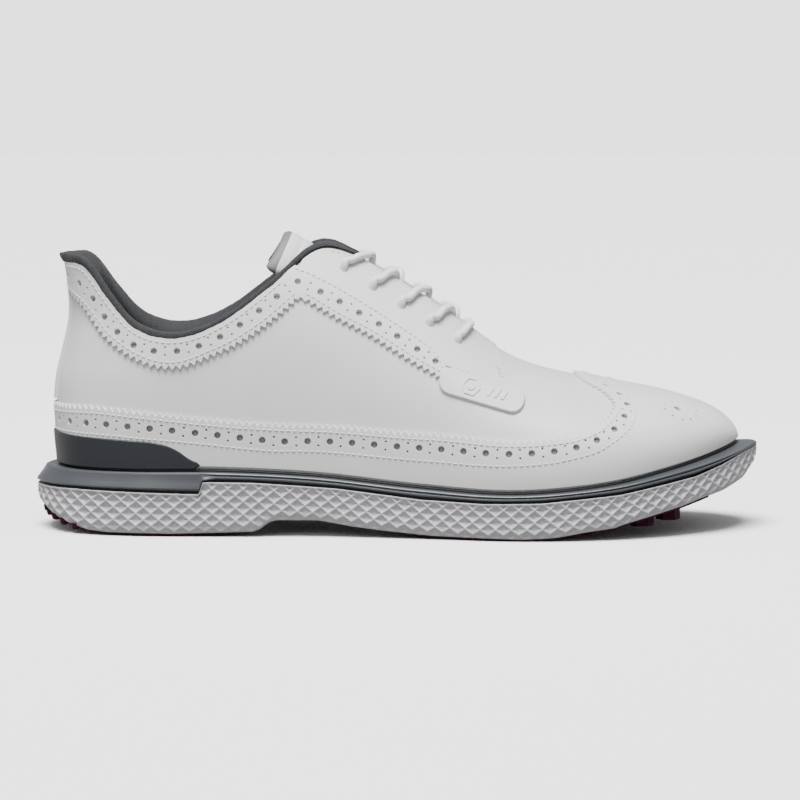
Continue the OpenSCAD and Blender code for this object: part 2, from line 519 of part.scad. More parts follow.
// plate with straight front and back edges lying in the recess
module outsole_pad(t0, t1) {
  ts = steps(t0, t1, 12);
  function q(s, t, dz) = let (p = plan(s, t, -2.5)) [p[0], p[1], lookup(p[0], low) + dz];
  function grid(dz) = [for (t = ts) [for (j = [0:4]) let (a = q(lat, t, dz), b = q(med, t, dz))
    let (p = a + (b - a) * j / 4) [p[0], p[1], lookup(p[0], low) + dz]]];
  sheet_solid(grid(recess - gap - 0.4), grid(0.3));
}

// tongue, lower than the facings so that the lace can pass between
tongue_rows = [[3.55, 54], [3.65, 55], [3.8, 58], [4, 60.5], [4.15, 60.5], [4.3, 59.5], [4.6, 59], [4.9, 59.5],
  [5.2, 60], [5.5, 61], [5.8, 63], [6.05, 66]];
tongue_top = -6.9;
function tongue_off(t) = tongue_top + (t < 4.3 ? 1.6 * (4.3 - t) / 0.75 : t > 5.5 ? (t - 5.5) * 2.2 : 0);
module tongue_layer(a, b, trim) {
  n = len(tongue_rows) - 1;
  function row(i, extra) = let (t = tongue_rows[i][0] + (i == 0 ? trim : i == n ? -trim / 3 : 0))
    let (p0 = tongue_rows[i][1] + 25 * trim)
    [for (j = [-6:6]) let (f = abs(j) / 6)
      skin(j > 0 ? med : lat, t, 90 - (90 - p0) * f, tongue_off(t) + extra)];
  sheet_solid([for (i = [0:n]) row(i, a)], [for (i = [0:n]) row(i, b)]);
}
module tongue_outer() {
  color([0.86, 0.86, 0.85])
    tongue_layer(0, -1, 0);
}
module tongue_foam() {
  color([0.8, 0.78, 0.6])
    tongue_layer(-1.3, -4.4, 0.02);
}
module tongue_lining() {
  color([0.3, 0.31, 0.33])
    tongue_layer(-4.7, -5.5, 0);
}

// insole
function insole_in(t) = -5.4 - (t > 8 ? 6 * pow((t - 8) / 2, 2) : 0);
module insole_layer(a, b) {
  ring_solid([for (dz = [a, b]) sole_ring(function (t) insole_in(t), function (t, x) z_foot(t) + dz)], true);
}
module insole_foam() {
  color([0.55, 0.58, 0.6])
    insole_layer(0.1, 0.1 + insole_t);
}
module insole_cover() {
  color([0.3, 0.32, 0.34])
    insole_layer(0.1 + insole_t + gap, 0.9 + insole_t + gap);
}

upper_shell();
wing_overlay();
collar_band_lateral();
collar_band_medial();
facing_lateral();
facing_medial();
side_tab();
heel_backstay();
heel_cup();
collar_lining();
collar_foam();
vamp_lining();
heel_counter();
toe_puff();
lace();
aglets();
strobel_board();
sole_frame();
midsole();
outsole_heel();
outsole_forefoot();
tongue_outer();
tongue_foam();
tongue_lining();
insole_foam();
insole_cover();
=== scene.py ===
import bpy
import math
import numpy as np
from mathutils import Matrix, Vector, kdtree
from mathutils.geometry import delaunay_2d_cdt


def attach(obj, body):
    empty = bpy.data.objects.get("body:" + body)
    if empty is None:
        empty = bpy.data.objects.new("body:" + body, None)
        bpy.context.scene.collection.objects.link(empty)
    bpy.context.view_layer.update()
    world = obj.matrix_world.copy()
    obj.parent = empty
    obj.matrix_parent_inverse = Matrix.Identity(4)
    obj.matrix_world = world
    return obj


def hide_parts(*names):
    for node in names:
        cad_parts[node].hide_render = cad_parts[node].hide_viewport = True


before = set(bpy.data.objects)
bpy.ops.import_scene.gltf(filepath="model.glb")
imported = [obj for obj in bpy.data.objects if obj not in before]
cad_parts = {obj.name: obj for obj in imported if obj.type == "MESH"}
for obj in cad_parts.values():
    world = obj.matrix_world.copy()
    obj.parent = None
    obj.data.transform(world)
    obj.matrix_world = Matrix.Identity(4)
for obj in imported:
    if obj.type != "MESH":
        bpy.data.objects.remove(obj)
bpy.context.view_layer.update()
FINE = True

# ---- the upper's surface, in mm
# One value per station t, from 0 at the back of the heel to 10 at the tip of the toe. A point of the upper is
# (t, s, p): station, side (-1 outer, 1 inner) and angle p, from 0 at the feather edge to 90 at the top line.
# FX FL FM FZ: feather edge, x, y of each side, z. RZ RY: top line. FAN: lean of the heel. EA: fullness.
# HW HIN: share and shape of the heel curve. CZ: collar height at every half station. LEDGE: width of the sole
# beyond the feather edge. LOW HIGH: height of the foam's lower and upper edge along x.
FX = [-139.5, -131, -108, -72, -32, 10, 48, 85, 114, 134.5, 143.2]
FL = [0, -22, -33, -35.5, -36, -42.5, -50, -47.5, -35.5, -17, 4]
FM = [0, 21.5, 32, 31, 29, 39.5, 50.5, 49.5, 38, 24, 4]
FZ = [28.5, 28.5, 28.5, 28.5, 26.5, 22.5, 20.7, 23.7, 29.5, 34.6, 37.3]
RZ = [134, 133, 131, 129.5, 122.7, 99.8, 72.2, 61.4, 55.2, 47.8, 37.3]
RY = [0, 0, 0, 0, 0, 0.5, 3, 7, 9.5, 8.5, 4]
FAN = [36, 28, 10, 0, 0, 0, 0, 0, 0, 0, 0]
EA = [1, 1, 1, 1, 1, 1, 0.97, 0.92, 0.88, 0.88, 0.9]
HW = [1, 0.8, 0.35, 0, 0, 0, 0, 0, 0, 0, 0]
HIN = [-1.5, -2.6, -3.2, -2.1, 0.8, 3.2, 2.9, 1.3, -0.5]
CZ = [110, 110.5, 108.7, 96.3, 84.3, 80.7, 87.1, 101, 116.9, 112]
LEDGE = [11.7, 9, 6.8, 6.2, 6.2, 6.4, 7, 7, 7.6, 8.6, 9.2]
LOW = [(-153, 13.5), (-152, 13), (-150, 10), (-145, 7), (-138, 4.4), (-129, 1.9), (-120, 1.2), (-92, 1),
       (-59, 1.9), (-56, 3), (-52, 6), (-49, 6.7), (-32, 6.7), (-19, 4.5), (-8, 3.2), (2, 2.3), (14, 1.3),
       (52, 0.6), (65, 1.3), (78, 3.5), (90, 5), (96, 6.8), (118, 12.3), (128, 15.3), (136, 17.2),
       (145, 20.9), (151, 25.4), (153, 29)]
STEP_X = -79.6  # where the foam's upper edge steps up, in front of the heel
HIGH = [(-153, 18.3), (-134, 19), (-120, 18.7), (-81, 17.7), (STEP_X, 22.8), (-59, 22.5), (-24, 20.2),
        (10, 16.4), (35, 15.4), (59, 15.8), (92, 18.9), (124, 24.9), (135, 28.6), (145, 32.6), (151, 33.9),
        (153, 34.2)]
THROAT_T = 5.85  # front end of the slot between the facings
BODY_OFF = -0.5  # layers of the upper, as offsets from its outer surface: body leather,
STRIP_OUT = 0.95  # faces of the strips sewn on it,
STRIP_IN = -0.6
FACING_OUT = 0.25  # lace facing, which lies under the collar band,
TAB_OUT = 1.25  # side tab
EMBLEM_OUT = 1.75  # and what is raised on it


def lut(tab, x):
    """Straight-line look-up in a list of (x, value)."""
    return np.interp(x, [a for a, b in tab], [b for a, b in tab])


def cr(a, b, c, d, f):
    """Catmull-Rom between b and c."""
    return 0.5 * (2 * b + (c - a) * f + (2 * a - 5 * b + 4 * c - d) * f * f
                  + (3 * b - a - 3 * c + d) * f ** 3)


def around(v, w, t):
    """Smooth value at t that carries on at both ends into w, the same row on the other side."""
    v, w, t = (np.asarray(q, float) for q in (v, w, t))
    n = len(v) - 1
    i = np.clip(np.floor(t).astype(int), 0, n - 1)
    a = np.where(i > 0, v[np.maximum(i - 1, 0)], w[1])
    d = np.where(i + 2 <= n, v[np.minimum(i + 2, n)], w[n - 1])
    return cr(a, v[i], v[i + 1], d, t - i)


def along(v, t):
    """Smooth value at t of a row with free ends."""
    v, t = np.asarray(v, float), np.asarray(t, float)
    n = len(v) - 1
    i = np.clip(np.floor(t).astype(int), 0, n - 1)
    a = np.where(i > 0, v[np.maximum(i - 1, 0)], 2 * v[0] - v[1])
    d = np.where(i + 2 <= n, v[np.minimum(i + 2, n)], 2 * v[n] - v[n - 1])
    return cr(a, v[i], v[i + 1], d, t - i)


def foot(t, s):
    return around(FX, FX, t), np.where(s < 0, around(FL, FM, t), around(FM, FL, t))


def plan(t, s, off):
    """Feather edge seen from above, moved out by off."""
    t, s = np.asarray(t, float), np.asarray(s, float)
    x, y = foot(t, s)
    x2, y2 = foot(np.minimum(t + 1e-3, 10), s)
    x1, y1 = foot(np.maximum(t - 1e-3, 0), s)
    tx, ty = x2 - x1, y2 - y1
    l = np.hypot(tx, ty)
    nx = np.where(s < 0, ty / l, -ty / l)
    ny = np.where(s < 0, -tx / l, tx / l)
    end = (t >= 10 - 1e-9) | (t <= 1e-9)
    nx = np.where(end, np.where(t > 5, 1, -1), nx)
    ny = np.where(end, 0, ny)
    return x + off * nx, y + off * ny


def ridge(t):
    return around(FX, FX, t) + np.maximum(along(FAN, t), 0), along(RZ, t)


def z_foot(t):
    return around(FZ, FZ, t)


def skin(t, s, p, off=0.0):
    """Point of the upper at station t, side s, angle p, moved out by off."""
    t, s, p, off = np.broadcast_arrays(*(np.asarray(q, float) for q in (t, s, p, off)))
    t = np.clip(t, 0, 10)
    fx, fy = plan(t, s, off)
    a1, b1 = ridge(np.maximum(t - 1e-3, 0))
    a2, b2 = ridge(np.minimum(t + 1e-3, 10))
    rx, rz = a2 - a1, b2 - b1
    rl = np.hypot(rx, rz)
    tip = t >= 10 - 1e-9
    nx, nz = np.where(tip, 1, -rz / rl), np.where(tip, 0, rx / rl)
    nx, nz = np.where(t < 2, 0, nx), np.where(t < 2, 1, nz)
    cx, zr = ridge(t)
    cx, zr, cy = cx + off * nx, zr + off * nz, along(RY, t)
    b = np.hypot(cx - fx, cy - fy)
    ea, z0 = along(EA, t), z_foot(t)
    r = np.radians(p)
    c, q = np.clip(np.cos(r), 0, 1), np.sin(r)
    z = z0 + (zr - z0) * np.sign(q) * np.abs(q) ** ea
    k = 1 - c ** ea - 2.2 / np.maximum(b, 30) * np.sin(2 * r) * c
    hw = np.maximum(along(HW, t), 0)
    k = k * (1 - hw) + hw * along(HIN, (z - 28.5) / 12) / np.maximum(b, 1e-3)
    return np.stack([fx * (1 - k) + cx * k, fy * (1 - k) + cy * k, z], -1)


def rise_at(t, z):
    """Angle p at height z."""
    q = np.clip((z - z_foot(t)) / np.maximum(ridge(t)[1] - z_foot(t), 0.01), 0, 1)
    return np.degrees(np.arcsin(q ** (1 / along(EA, t))))


def edge_p(t):
    """Angle p of the collar and of the slot's edge."""
    t = np.asarray(t, float)
    q = np.clip((along(CZ, np.minimum(t * 2, 9)) - z_foot(t)) / (ridge(t)[1] - z_foot(t)), 0, 1)
    c = np.where(t < 4.6, np.sqrt(1 - q * q), 0)
    g = 0.2 * (1 - np.clip((np.maximum(t, 4.2) - 4.2) / 1.65, 0, 1) ** 4)
    return np.where(t >= THROAT_T, 90.0, np.degrees(np.arccos(np.maximum(c, g))))


def unit(v):
    return v / np.maximum(np.linalg.norm(v, axis=-1, keepdims=True), 1e-9)


def lengths(p):
    """Length along a line of points, up to each of them."""
    return np.concatenate([[0], np.cumsum(np.linalg.norm(np.diff(p, axis=0), axis=1))])


def jac(t, s, p, off=0.0):
    """How the surface point moves with t and with p."""
    ta, tb = np.clip(t - 0.01, 0, 10), np.clip(t + 0.01, 0, 10)
    pa, pb = np.clip(p - 0.2, -20, 89.9), np.clip(p + 0.2, -20, 90)
    du = (skin(tb, s, p, off) - skin(ta, s, p, off)) / (tb - ta)[..., None]
    dv = (skin(t, s, pb, off) - skin(t, s, pa, off)) / (pb - pa)[..., None]
    return du, dv


def raw_normal(t, s, p, off=0.0):
    t, s, p = np.broadcast_arrays(*(np.asarray(q, float) for q in (t, s, p)))
    t, p = np.clip(t, 0.02, 9.97), np.clip(p, -20, 89.3)
    du, dv = jac(t, s, p, off)
    return unit(np.cross(du, dv) * np.where(s < 0, 1.0, -1.0)[..., None])


def normal(t, s, p, off=0.0):
    """Outward normal, shared across the heel line and the ridge."""
    t, s, p = np.broadcast_arrays(*(np.asarray(q, float) for q in (t, s, p)))
    a = raw_normal(t, s, p, off)
    b = raw_normal(t, -s, p, off)
    w = np.clip(1 - np.minimum(t / 0.12, (90 - p) / 4), 0, 1)
    w = np.where((t < 0.12) | ((p > 86) & (t > 5.8)), w, 0)[..., None] * 0.5
    return unit(a * (1 - w) + b * w)


def step(t, s, p, a, b):
    """(t, p) after moving a mm along and b mm up on the surface."""
    t, s, p, a, b = (np.array(q, float) for q in np.broadcast_arrays(t, s, p, a, b))
    du, dv = jac(t, s, p)
    e1 = unit(du)
    e2 = np.cross(unit(np.cross(du, dv)), e1)
    m11, m12 = (du * e1).sum(-1), (dv * e1).sum(-1)
    m21, m22 = (du * e2).sum(-1), (dv * e2).sum(-1)
    det = m11 * m22 - m12 * m21
    det = np.where(np.abs(det) < 1e-6, 1e-6, det)
    return t + (m22 * a - m12 * b) / det, p + (m11 * b - m21 * a) / det


def shift(c, s, v):
    """A (t, p) curve moved by the vectors v, as far as they lie in the surface."""
    du, dv = jac(c[:, 0], s, c[:, 1])
    g11, g12, g22 = (du * du).sum(-1), (du * dv).sum(-1), (dv * dv).sum(-1)
    r1, r2 = (du * v).sum(-1), (dv * v).sum(-1)
    det = np.maximum(g11 * g22 - g12 * g12, 1e-9)
    return c + np.stack([(g22 * r1 - g12 * r2) / det, (g11 * r2 - g12 * r1) / det], -1)


# ---- mesh helpers
def new_mesh(name, verts, faces, normals=None, mat=None, smooth=True, scale=0.001):
    """A mesh object; points in mm unless scale says otherwise."""
    me = bpy.data.meshes.new(name)
    points = (np.asarray(verts, float) * scale).tolist()
    me.from_pydata(points, [], [tuple(int(i) for i in f) for f in faces])
    me.validate(clean_customdata=False)
    if smooth:
        me.polygons.foreach_set("use_smooth", [True] * len(me.polygons))
    if normals is not None and len(me.vertices) == len(normals):
        me.normals_split_custom_set_from_vertices([tuple(v) for v in unit(np.asarray(normals, float))])
    me.update()
    ob = bpy.data.objects.new(name, me)
    bpy.context.collection.objects.link(ob)
    if mat:
        me.materials.append(mat)
    return ob


def place(ob, body, slot, *nodes):
    """Hangs a piece on its body and hides the CAD nodes that it stands for; slot is not used."""
    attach(ob, body)
    if nodes:
        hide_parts(*nodes)
    return ob


def grid_faces(n, m, wrap_m=False, flip=False, base=0):
    """Quads of n rows with m points each."""
    i, j = np.meshgrid(np.arange(n - 1), np.arange(m if wrap_m else m - 1), indexing="ij")
    j2 = (j + 1) % m
    q = np.stack([i * m + j, (i + 1) * m + j, (i + 1) * m + j2, i * m + j2], -1).reshape(-1, 4) + base
    return q[:, ::-1] if flip else q


def resample(curve, spacing, s=-1, off=0.0):
    """A (t, p) curve through few points, smoothed and resampled evenly by length on the surface."""
    c = np.asarray(curve, float)
    u = np.linspace(0, len(c) - 1, (len(c) - 1) * 40 + 1)
    d = np.stack([along(c[:, 0], u), along(c[:, 1], u)], -1) if len(c) > 2 else \
        np.stack([np.interp(u, [0, 1], c[:, 0]), np.interp(u, [0, 1], c[:, 1])], -1)
    l = lengths(skin(d[:, 0], s, d[:, 1], off))
    n = max(int(round(l[-1] / spacing)), 1)
    w = np.linspace(0, l[-1], n + 1)
    return np.stack([np.interp(w, l, d[:, 0]), np.interp(w, l, d[:, 1])], -1)


def gimp(curve, s, up, pitch=3.0, depth=2.0):
    """Zigzag edge: teeth point up (+1) or down (-1) across the curve."""
    c = resample(curve, pitch / 6, s)
    n = len(c)
    pts = skin(c[:, 0], s, c[:, 1])
    tan = unit(np.gradient(pts, axis=0))
    nn = raw_normal(c[:, 0], s, c[:, 1])
    side = unit(np.cross(nn, tan)) * (1 if s < 0 else -1)
    ph = (np.arange(n) % 6) / 6
    h = (1 - np.abs(2 * ph - 1)) * depth - depth * 0.5
    h[0] = h[-1] = -depth * 0.5
    out = shift(c, s, side * (up * h)[:, None])
    keep = (np.arange(n) % 3 == 0) | (np.arange(n) == n - 1)
    out[:, 0] = np.clip(out[:, 0], 0, 10)
    out[:, 1] = np.clip(out[:, 1], 0, 90)
    out[0], out[-1] = c[0], c[-1]
    return out[keep]


def hole(t, p, s, r, n):
    """Edge of a punched hole of radius r, as n points."""
    a = np.linspace(0, 2 * math.pi, n, endpoint=False)
    return np.stack(step(t, s, p, r * np.cos(a), r * np.sin(a)), -1)


T_TAB = np.linspace(0, 10, 401)
ARC_U = lengths(np.stack(foot(T_TAB, -1), -1))
SEC_H = np.array([np.linalg.norm(np.diff(skin(t, -1, np.linspace(0, 90, 31)), axis=0), axis=1).sum() / 90
                  for t in T_TAB])


def flat(c):
    """(t, p) to a plane of nearly true lengths, for triangulating."""
    return np.stack([np.interp(c[..., 0], T_TAB, ARC_U),
                     c[..., 1] * np.maximum(np.interp(c[..., 0], T_TAB, SEC_H), 0.06)], -1)


def inside(pts, loop):
    """Which points lie inside a closed flat loop."""
    x, y = pts[:, 0], pts[:, 1]
    r = np.zeros(len(pts), bool)
    a, b = loop, np.roll(loop, -1, axis=0)
    for (x1, y1), (x2, y2) in zip(a, b):
        if y1 != y2:
            hit = ((y1 > y) != (y2 > y)) & (x < (x2 - x1) * (y - y1) / (y2 - y1) + x1)
            r ^= hit
    return r


def in_piece(pts, edge, *cuts):
    """Which flat points lie inside the edge and outside every cut."""
    ok = inside(pts, edge)
    for h in cuts:
        near = ok & (pts > h.min(0)).all(1) & (pts < h.max(0)).all(1)
        ok[near] &= ~inside(pts[near], h)
    return ok


def fill(edge, res):
    """An even triangular grid of (t, p) points over the reach of an outline."""
    u0, u1 = np.interp([edge[:, 0].min(), edge[:, 0].max()], T_TAB, ARC_U)
    rows = []
    for k, u in enumerate(np.arange(u0 + res / 2, u1, res * 0.87)):
        t = np.interp(u, ARC_U, T_TAB)
        h = max(np.interp(t, T_TAB, SEC_H), 0.06)
        v = np.arange(edge[:, 1].min() * h + (k % 2) * res / 2, edge[:, 1].max() * h, res)
        rows.append(np.stack([np.full(len(v), t), v / h], -1))
    return np.concatenate(rows)


def cut_sheet(loops, res):
    """Triangles inside the first loop and outside the others.

    Returns the (t, p) points, the triangles, and which point each point of the loops has become.
    """
    edge = np.concatenate(loops)
    flat_edge, flat_loops = flat(edge), [flat(lp) for lp in loops]
    grid = fill(loops[0], res)
    flat_grid = flat(grid)
    kd = kdtree.KDTree(len(flat_edge))
    for i, q in enumerate(flat_edge):
        kd.insert((q[0], q[1], 0), i)
    kd.balance()
    idx = [i for i in np.flatnonzero(in_piece(flat_grid, *flat_loops))
           if kd.find((flat_grid[i][0], flat_grid[i][1], 0))[2] > res * 0.45]
    lines, k = [], 0
    for lp in loops:
        lines += [(k + i, k + (i + 1) % len(lp)) for i in range(len(lp))]
        k += len(lp)
    allp = np.concatenate([flat_edge, flat_grid[idx]])
    cdt = delaunay_2d_cdt([Vector(q) for q in allp.tolist()], lines, [], 0, 1e-6)
    found, orig = np.array([tuple(v) for v in cdt[0]]), cdt[3]
    given = np.concatenate([edge, grid[idx]])
    points = np.array([given[o[0]] if o else (0, 0) for o in orig])
    tri = np.array([f for f in cdt[2] if len(f) == 3])
    tri = tri[in_piece(found[tri].mean(1), *flat_loops)]
    return points, tri, {q: i for i, o in enumerate(orig) for q in o}


def on_seam(a, b):
    """Whether an edge lies on the ridge or on the heel line, where the two sides meet."""
    return (a[1] >= 89.9 and b[1] >= 89.9) or (a[0] <= 1e-4 and b[0] <= 1e-4)


def panel(name, outline, holes, sides, out, inn, mat, res=2.2, bevel=0.28):
    """A cut piece of leather on the surface, with its edges and holes; both sides in one mesh.

    out and inn are the offsets of its face and of the foot of its edges, res the size of its triangles.
    """
    verts, norms, faces = [], [], []
    for s in sides:
        ol = outline(s) if callable(outline) else np.asarray(outline)
        loops = [ol] + list(holes(s) if callable(holes) else holes)
        pp, tri, back = cut_sheet(loops, res)
        base = len(verts)
        p3, n3 = skin(pp[:, 0], s, pp[:, 1], out), normal(pp[:, 0], s, pp[:, 1], out)
        verts += p3.tolist()
        norms += n3.tolist()
        a, b, c = (p3[tri[:, i]] for i in range(3))
        turn = (np.cross(b - a, c - a) * n3[tri[:, 0]]).sum(1) < 0
        tri[turn] = tri[turn][:, ::-1]
        faces += (tri + base).tolist()
        k = 0
        for li, lp in enumerate(loops):
            # the wall round this loop: a small bevel, then straight in
            m = len(lp)
            ids = [back[k + i] for i in range(m)]
            k += m
            q3, qn = p3[ids], n3[ids]
            tan = unit(np.roll(q3, -1, 0) - np.roll(q3, 1, 0))
            outw = unit(np.cross(tan, qn))
            area = np.cross(q3 - q3.mean(0), np.roll(q3, -1, 0) - q3.mean(0)).sum(0) @ qn.mean(0)
            if (area < 0) != (li > 0):
                outw = -outw
            bv = bevel if li == 0 else bevel * 0.8
            b1 = len(verts)
            verts += (q3 + outw * bv - qn * bv).tolist()
            verts += (skin(lp[:, 0], s, lp[:, 1], inn) + outw * bv).tolist()
            norms += unit(outw + qn * 0.15).tolist() + outw.tolist()
            for i in range(m):
                j = (i + 1) % m
                if on_seam(lp[i], lp[j]):
                    continue
                for f in ([base + ids[i], base + ids[j], b1 + j, b1 + i],
                          [b1 + i, b1 + j, b1 + m + j, b1 + m + i]):
                    pa, pb, pc = (np.array(verts[f[x]]) for x in (0, 1, 2))
                    faces.append(f[::-1] if np.cross(pb - pa, pc - pa) @ outw[i] < 0 else f)
    verts, norms = np.array(verts), np.array(norms)
    if len(sides) > 1:
        key = {}
        remap = [key.setdefault(tuple(v), i) for i, v in enumerate(np.round(verts, 3))]
        faces = [[remap[i] for i in f] for f in faces]
        faces = [f for f in faces if len(set(f)) == len(f)]
    used = sorted({i for f in faces for i in f})
    new = {o: i for i, o in enumerate(used)}
    return new_mesh(name, verts[used], [[new[i] for i in f] for f in faces], norms[used], mat)


def stitches(name, paths, mat, length, gap, r, lift, off):
    """Sewing thread: one short rounded stitch after another along each (side, curve) path."""
    verts, faces = [], []
    prof = [(-0.5, 0.35), (-0.38, 0.85), (0, 1.0), (0.38, 0.85), (0.5, 0.35)]
    for s, curve in paths:
        c = resample(curve, length + gap, s, off)
        c = c[:-1] + (c[1:] - c[:-1]) * 0.5
        p = skin(c[:, 0], s, c[:, 1], off)
        n = raw_normal(c[:, 0], s, c[:, 1], off)
        d = unit(np.gradient(p, axis=0))
        for q, nn, dd in zip(p, n, d):
            e = np.cross(dd, nn)
            b = len(verts)
            for u, w in prof:
                for a in range(6):
                    an = a * math.pi / 3
                    verts.append(q + nn * lift * (1 - 2.5 * u * u) + dd * u * length
                                 + (e * math.cos(an) + nn * math.sin(an)) * r * w)
            faces += grid_faces(5, 6, wrap_m=True, base=b).tolist()
            faces += [[b + 5, b + 4, b + 3, b + 2, b + 1, b], [b + 24 + k for k in range(6)]]
    return new_mesh(name, verts, faces, None, mat)


def sweep(name, rings, mat):
    """Closed rings joined one to the next, with both ends capped."""
    r = np.asarray(rings)
    n, m = r.shape[:2]
    f = grid_faces(n, m, wrap_m=True).tolist()
    f += [list(range(m))[::-1], [(n - 1) * m + k for k in range(m)]]
    return new_mesh(name, r.reshape(-1, 3), f, None, mat)


# ---- materials
def shader(nt, kind, **values):
    """A new node of a material, with some of its inputs set."""
    nd = nt.nodes.new("ShaderNode" + kind)
    for socket, value in values.items():
        nd.inputs[socket.replace("_", " ")].default_value = value
    return nd


def bump(nt, place_in, kind, size, height, strength, below):
    """One layer of relief in a material, on top of the layer below."""
    if kind == "voronoi":
        tx, out = shader(nt, "TexVoronoi", Scale=size), "Distance"
    elif kind == "wave":
        tx, out = shader(nt, "TexWave", Scale=size, Distortion=1.5, Detail=1), "Fac"
        tx.bands_direction = "DIAGONAL"
    else:
        tx, out = shader(nt, "TexNoise", Scale=size, Detail=6), "Fac"
    nt.links.new(place_in, tx.inputs["Vector"])
    layer = shader(nt, "Bump", Distance=height, Strength=strength)
    nt.links.new(tx.outputs[out], layer.inputs["Height"])
    if below:
        nt.links.new(below, layer.inputs["Normal"])
    return layer.outputs["Normal"]


def material(name, base, rough, tint, scale, bumps, coat=0.0, sheen=0.0, spec=0.5):
    """Mottled colour and gloss, with layers of relief: (kind, scale, height in m, strength)."""
    m = bpy.data.materials.new(name)
    m.use_nodes = True
    nt = m.node_tree
    bs = nt.nodes["Principled BSDF"]
    for socket, value in (("Specular IOR Level", spec), ("Coat Weight", coat), ("Coat Roughness", 0.25),
                          ("Sheen Weight", sheen), ("Sheen Roughness", 0.5)):
        bs.inputs[socket].default_value = value
    co = shader(nt, "TexCoord").outputs["Object"]
    nz = shader(nt, "TexNoise", Scale=scale, Detail=5)
    nt.links.new(co, nz.inputs["Vector"])
    ramp = shader(nt, "ValToRGB")
    for stop, at, shade in zip(ramp.color_ramp.elements, (0.3, 0.7), (1 - tint, 1 + tint)):
        stop.position = at
        stop.color = (*[min(c * shade, 1) for c in base], 1)
    nt.links.new(nz.outputs["Fac"], ramp.inputs["Fac"])
    nt.links.new(ramp.outputs["Color"], bs.inputs["Base Color"])
    mr = shader(nt, "MapRange", To_Min=rough - 0.06, To_Max=rough + 0.06)
    nt.links.new(nz.outputs["Fac"], mr.inputs["Value"])
    nt.links.new(mr.outputs["Result"], bs.inputs["Roughness"])
    top = None
    for layer in bumps:
        top = bump(nt, co, *layer, top)
    nt.links.new(top, bs.inputs["Normal"])
    return m


GRAIN = ("voronoi", 1500, 0.00006, 0.35)
M_LEATHER = material("leather_white", (0.54, 0.54, 0.534), 0.42, 0.02, 60,
                     [GRAIN, ("noise", 260, 0.0002, 0.12)], coat=0.12)
M_TRIM = material("leather_trim", (0.56, 0.56, 0.554), 0.44, 0.02, 70,
                  [GRAIN, ("noise", 300, 0.0002, 0.12)], coat=0.1)
M_THREAD = material("thread_white", (0.66, 0.66, 0.65), 0.6, 0.04, 900,
                    [("wave", 1800, 0.0001, 0.5)], sheen=0.2)
M_KNIT = material("knit_grey", (0.023, 0.0245, 0.027), 0.72, 0.22, 800,
                  [("wave", 900, 0.0003, 0.5), ("voronoi", 1300, 0.0002, 0.6)], sheen=0.05, spec=0.25)
M_LINING = material("lining_mesh", (0.05, 0.052, 0.056), 0.8, 0.2, 600,
                    [("voronoi", 1000, 0.0003, 0.7)], sheen=0.1)
M_CUP = material("cup_gloss", (0.02, 0.022, 0.025), 0.34, 0.06, 40,
                 [("noise", 700, 0.00002, 0.1)], coat=0.05, spec=0.25)
M_FRAME = material("frame_grey", (0.044, 0.0475, 0.053), 0.36, 0.05, 50,
                   [("noise", 900, 0.00003, 0.2)], coat=0.06, spec=0.35)
M_FOAM_W = material("midsole_white", (0.42, 0.41, 0.43), 0.55, 0.03, 200, [("noise", 1400, 0.00012, 0.4)])
M_RUBBER = material("rubber_burgundy", (0.04, 0.0006, 0.016), 0.6, 0.15, 120,
                    [("noise", 900, 0.0001, 0.4)], spec=0.15)
M_TONGUE = material("tongue_leather", (0.58, 0.58, 0.582), 0.5, 0.03, 90,
                    [("voronoi", 1300, 0.00008, 0.4), ("noise", 200, 0.0004, 0.3)], sheen=0.1)
# painted shade: a dark tint for the end face round the tongue's free edge
M_TONGUE_EDGE_SHADE = material("tongue_edge_shade", (0.11, 0.11, 0.113), 0.6, 0.06, 200,
                         [("noise", 500, 0.0002, 0.3)], sheen=0.1)
M_LACE = material("lace_cotton", (0.66, 0.655, 0.645), 0.7, 0.05, 900,
                  [("noise", 2200, 0.0001, 0.6)], sheen=0.4)
M_AGLET = material("aglet_clear", (0.7, 0.7, 0.67), 0.2, 0.03, 100, [("noise", 400, 0.00003, 0.2)], coat=0.5)
M_WELT = material("welt_dark", (0.05, 0.053, 0.057), 0.45, 0.08, 60, [("noise", 900, 0.00005, 0.2)])
# painted shade: the dark colour of the discs in the punched holes
M_SHADE = material("punch_shade", (0.17, 0.172, 0.177), 0.8, 0.15, 500, [("noise", 900, 0.0001, 0.4)])
M_FOAM = material("foam_cream", (0.7, 0.66, 0.5), 0.85, 0.1, 700, [("voronoi", 900, 0.0004, 0.8)])
M_BOARD = material("board_fibre", (0.6, 0.55, 0.45), 0.8, 0.12, 300, [("noise", 800, 0.0003, 0.6)])
M_INSOLE = material("insole_fabric", (0.115, 0.12, 0.13), 0.8, 0.2, 900,
                    [("wave", 700, 0.0003, 0.5)], sheen=0.3)

# CAD parts that show as they are
NODE_MATS = {"collar_foam": M_FOAM, "heel_counter": M_BOARD, "toe_puff": M_BOARD, "aglets": M_AGLET,
             "strobel_board": M_BOARD, "tongue_foam": M_FOAM, "insole_foam": M_INSOLE,
             "outsole_heel": M_RUBBER, "outsole_forefoot": M_RUBBER}
for node, m in NODE_MATS.items():
    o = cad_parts[node]
    o.data.materials.clear()
    o.data.materials.append(m)

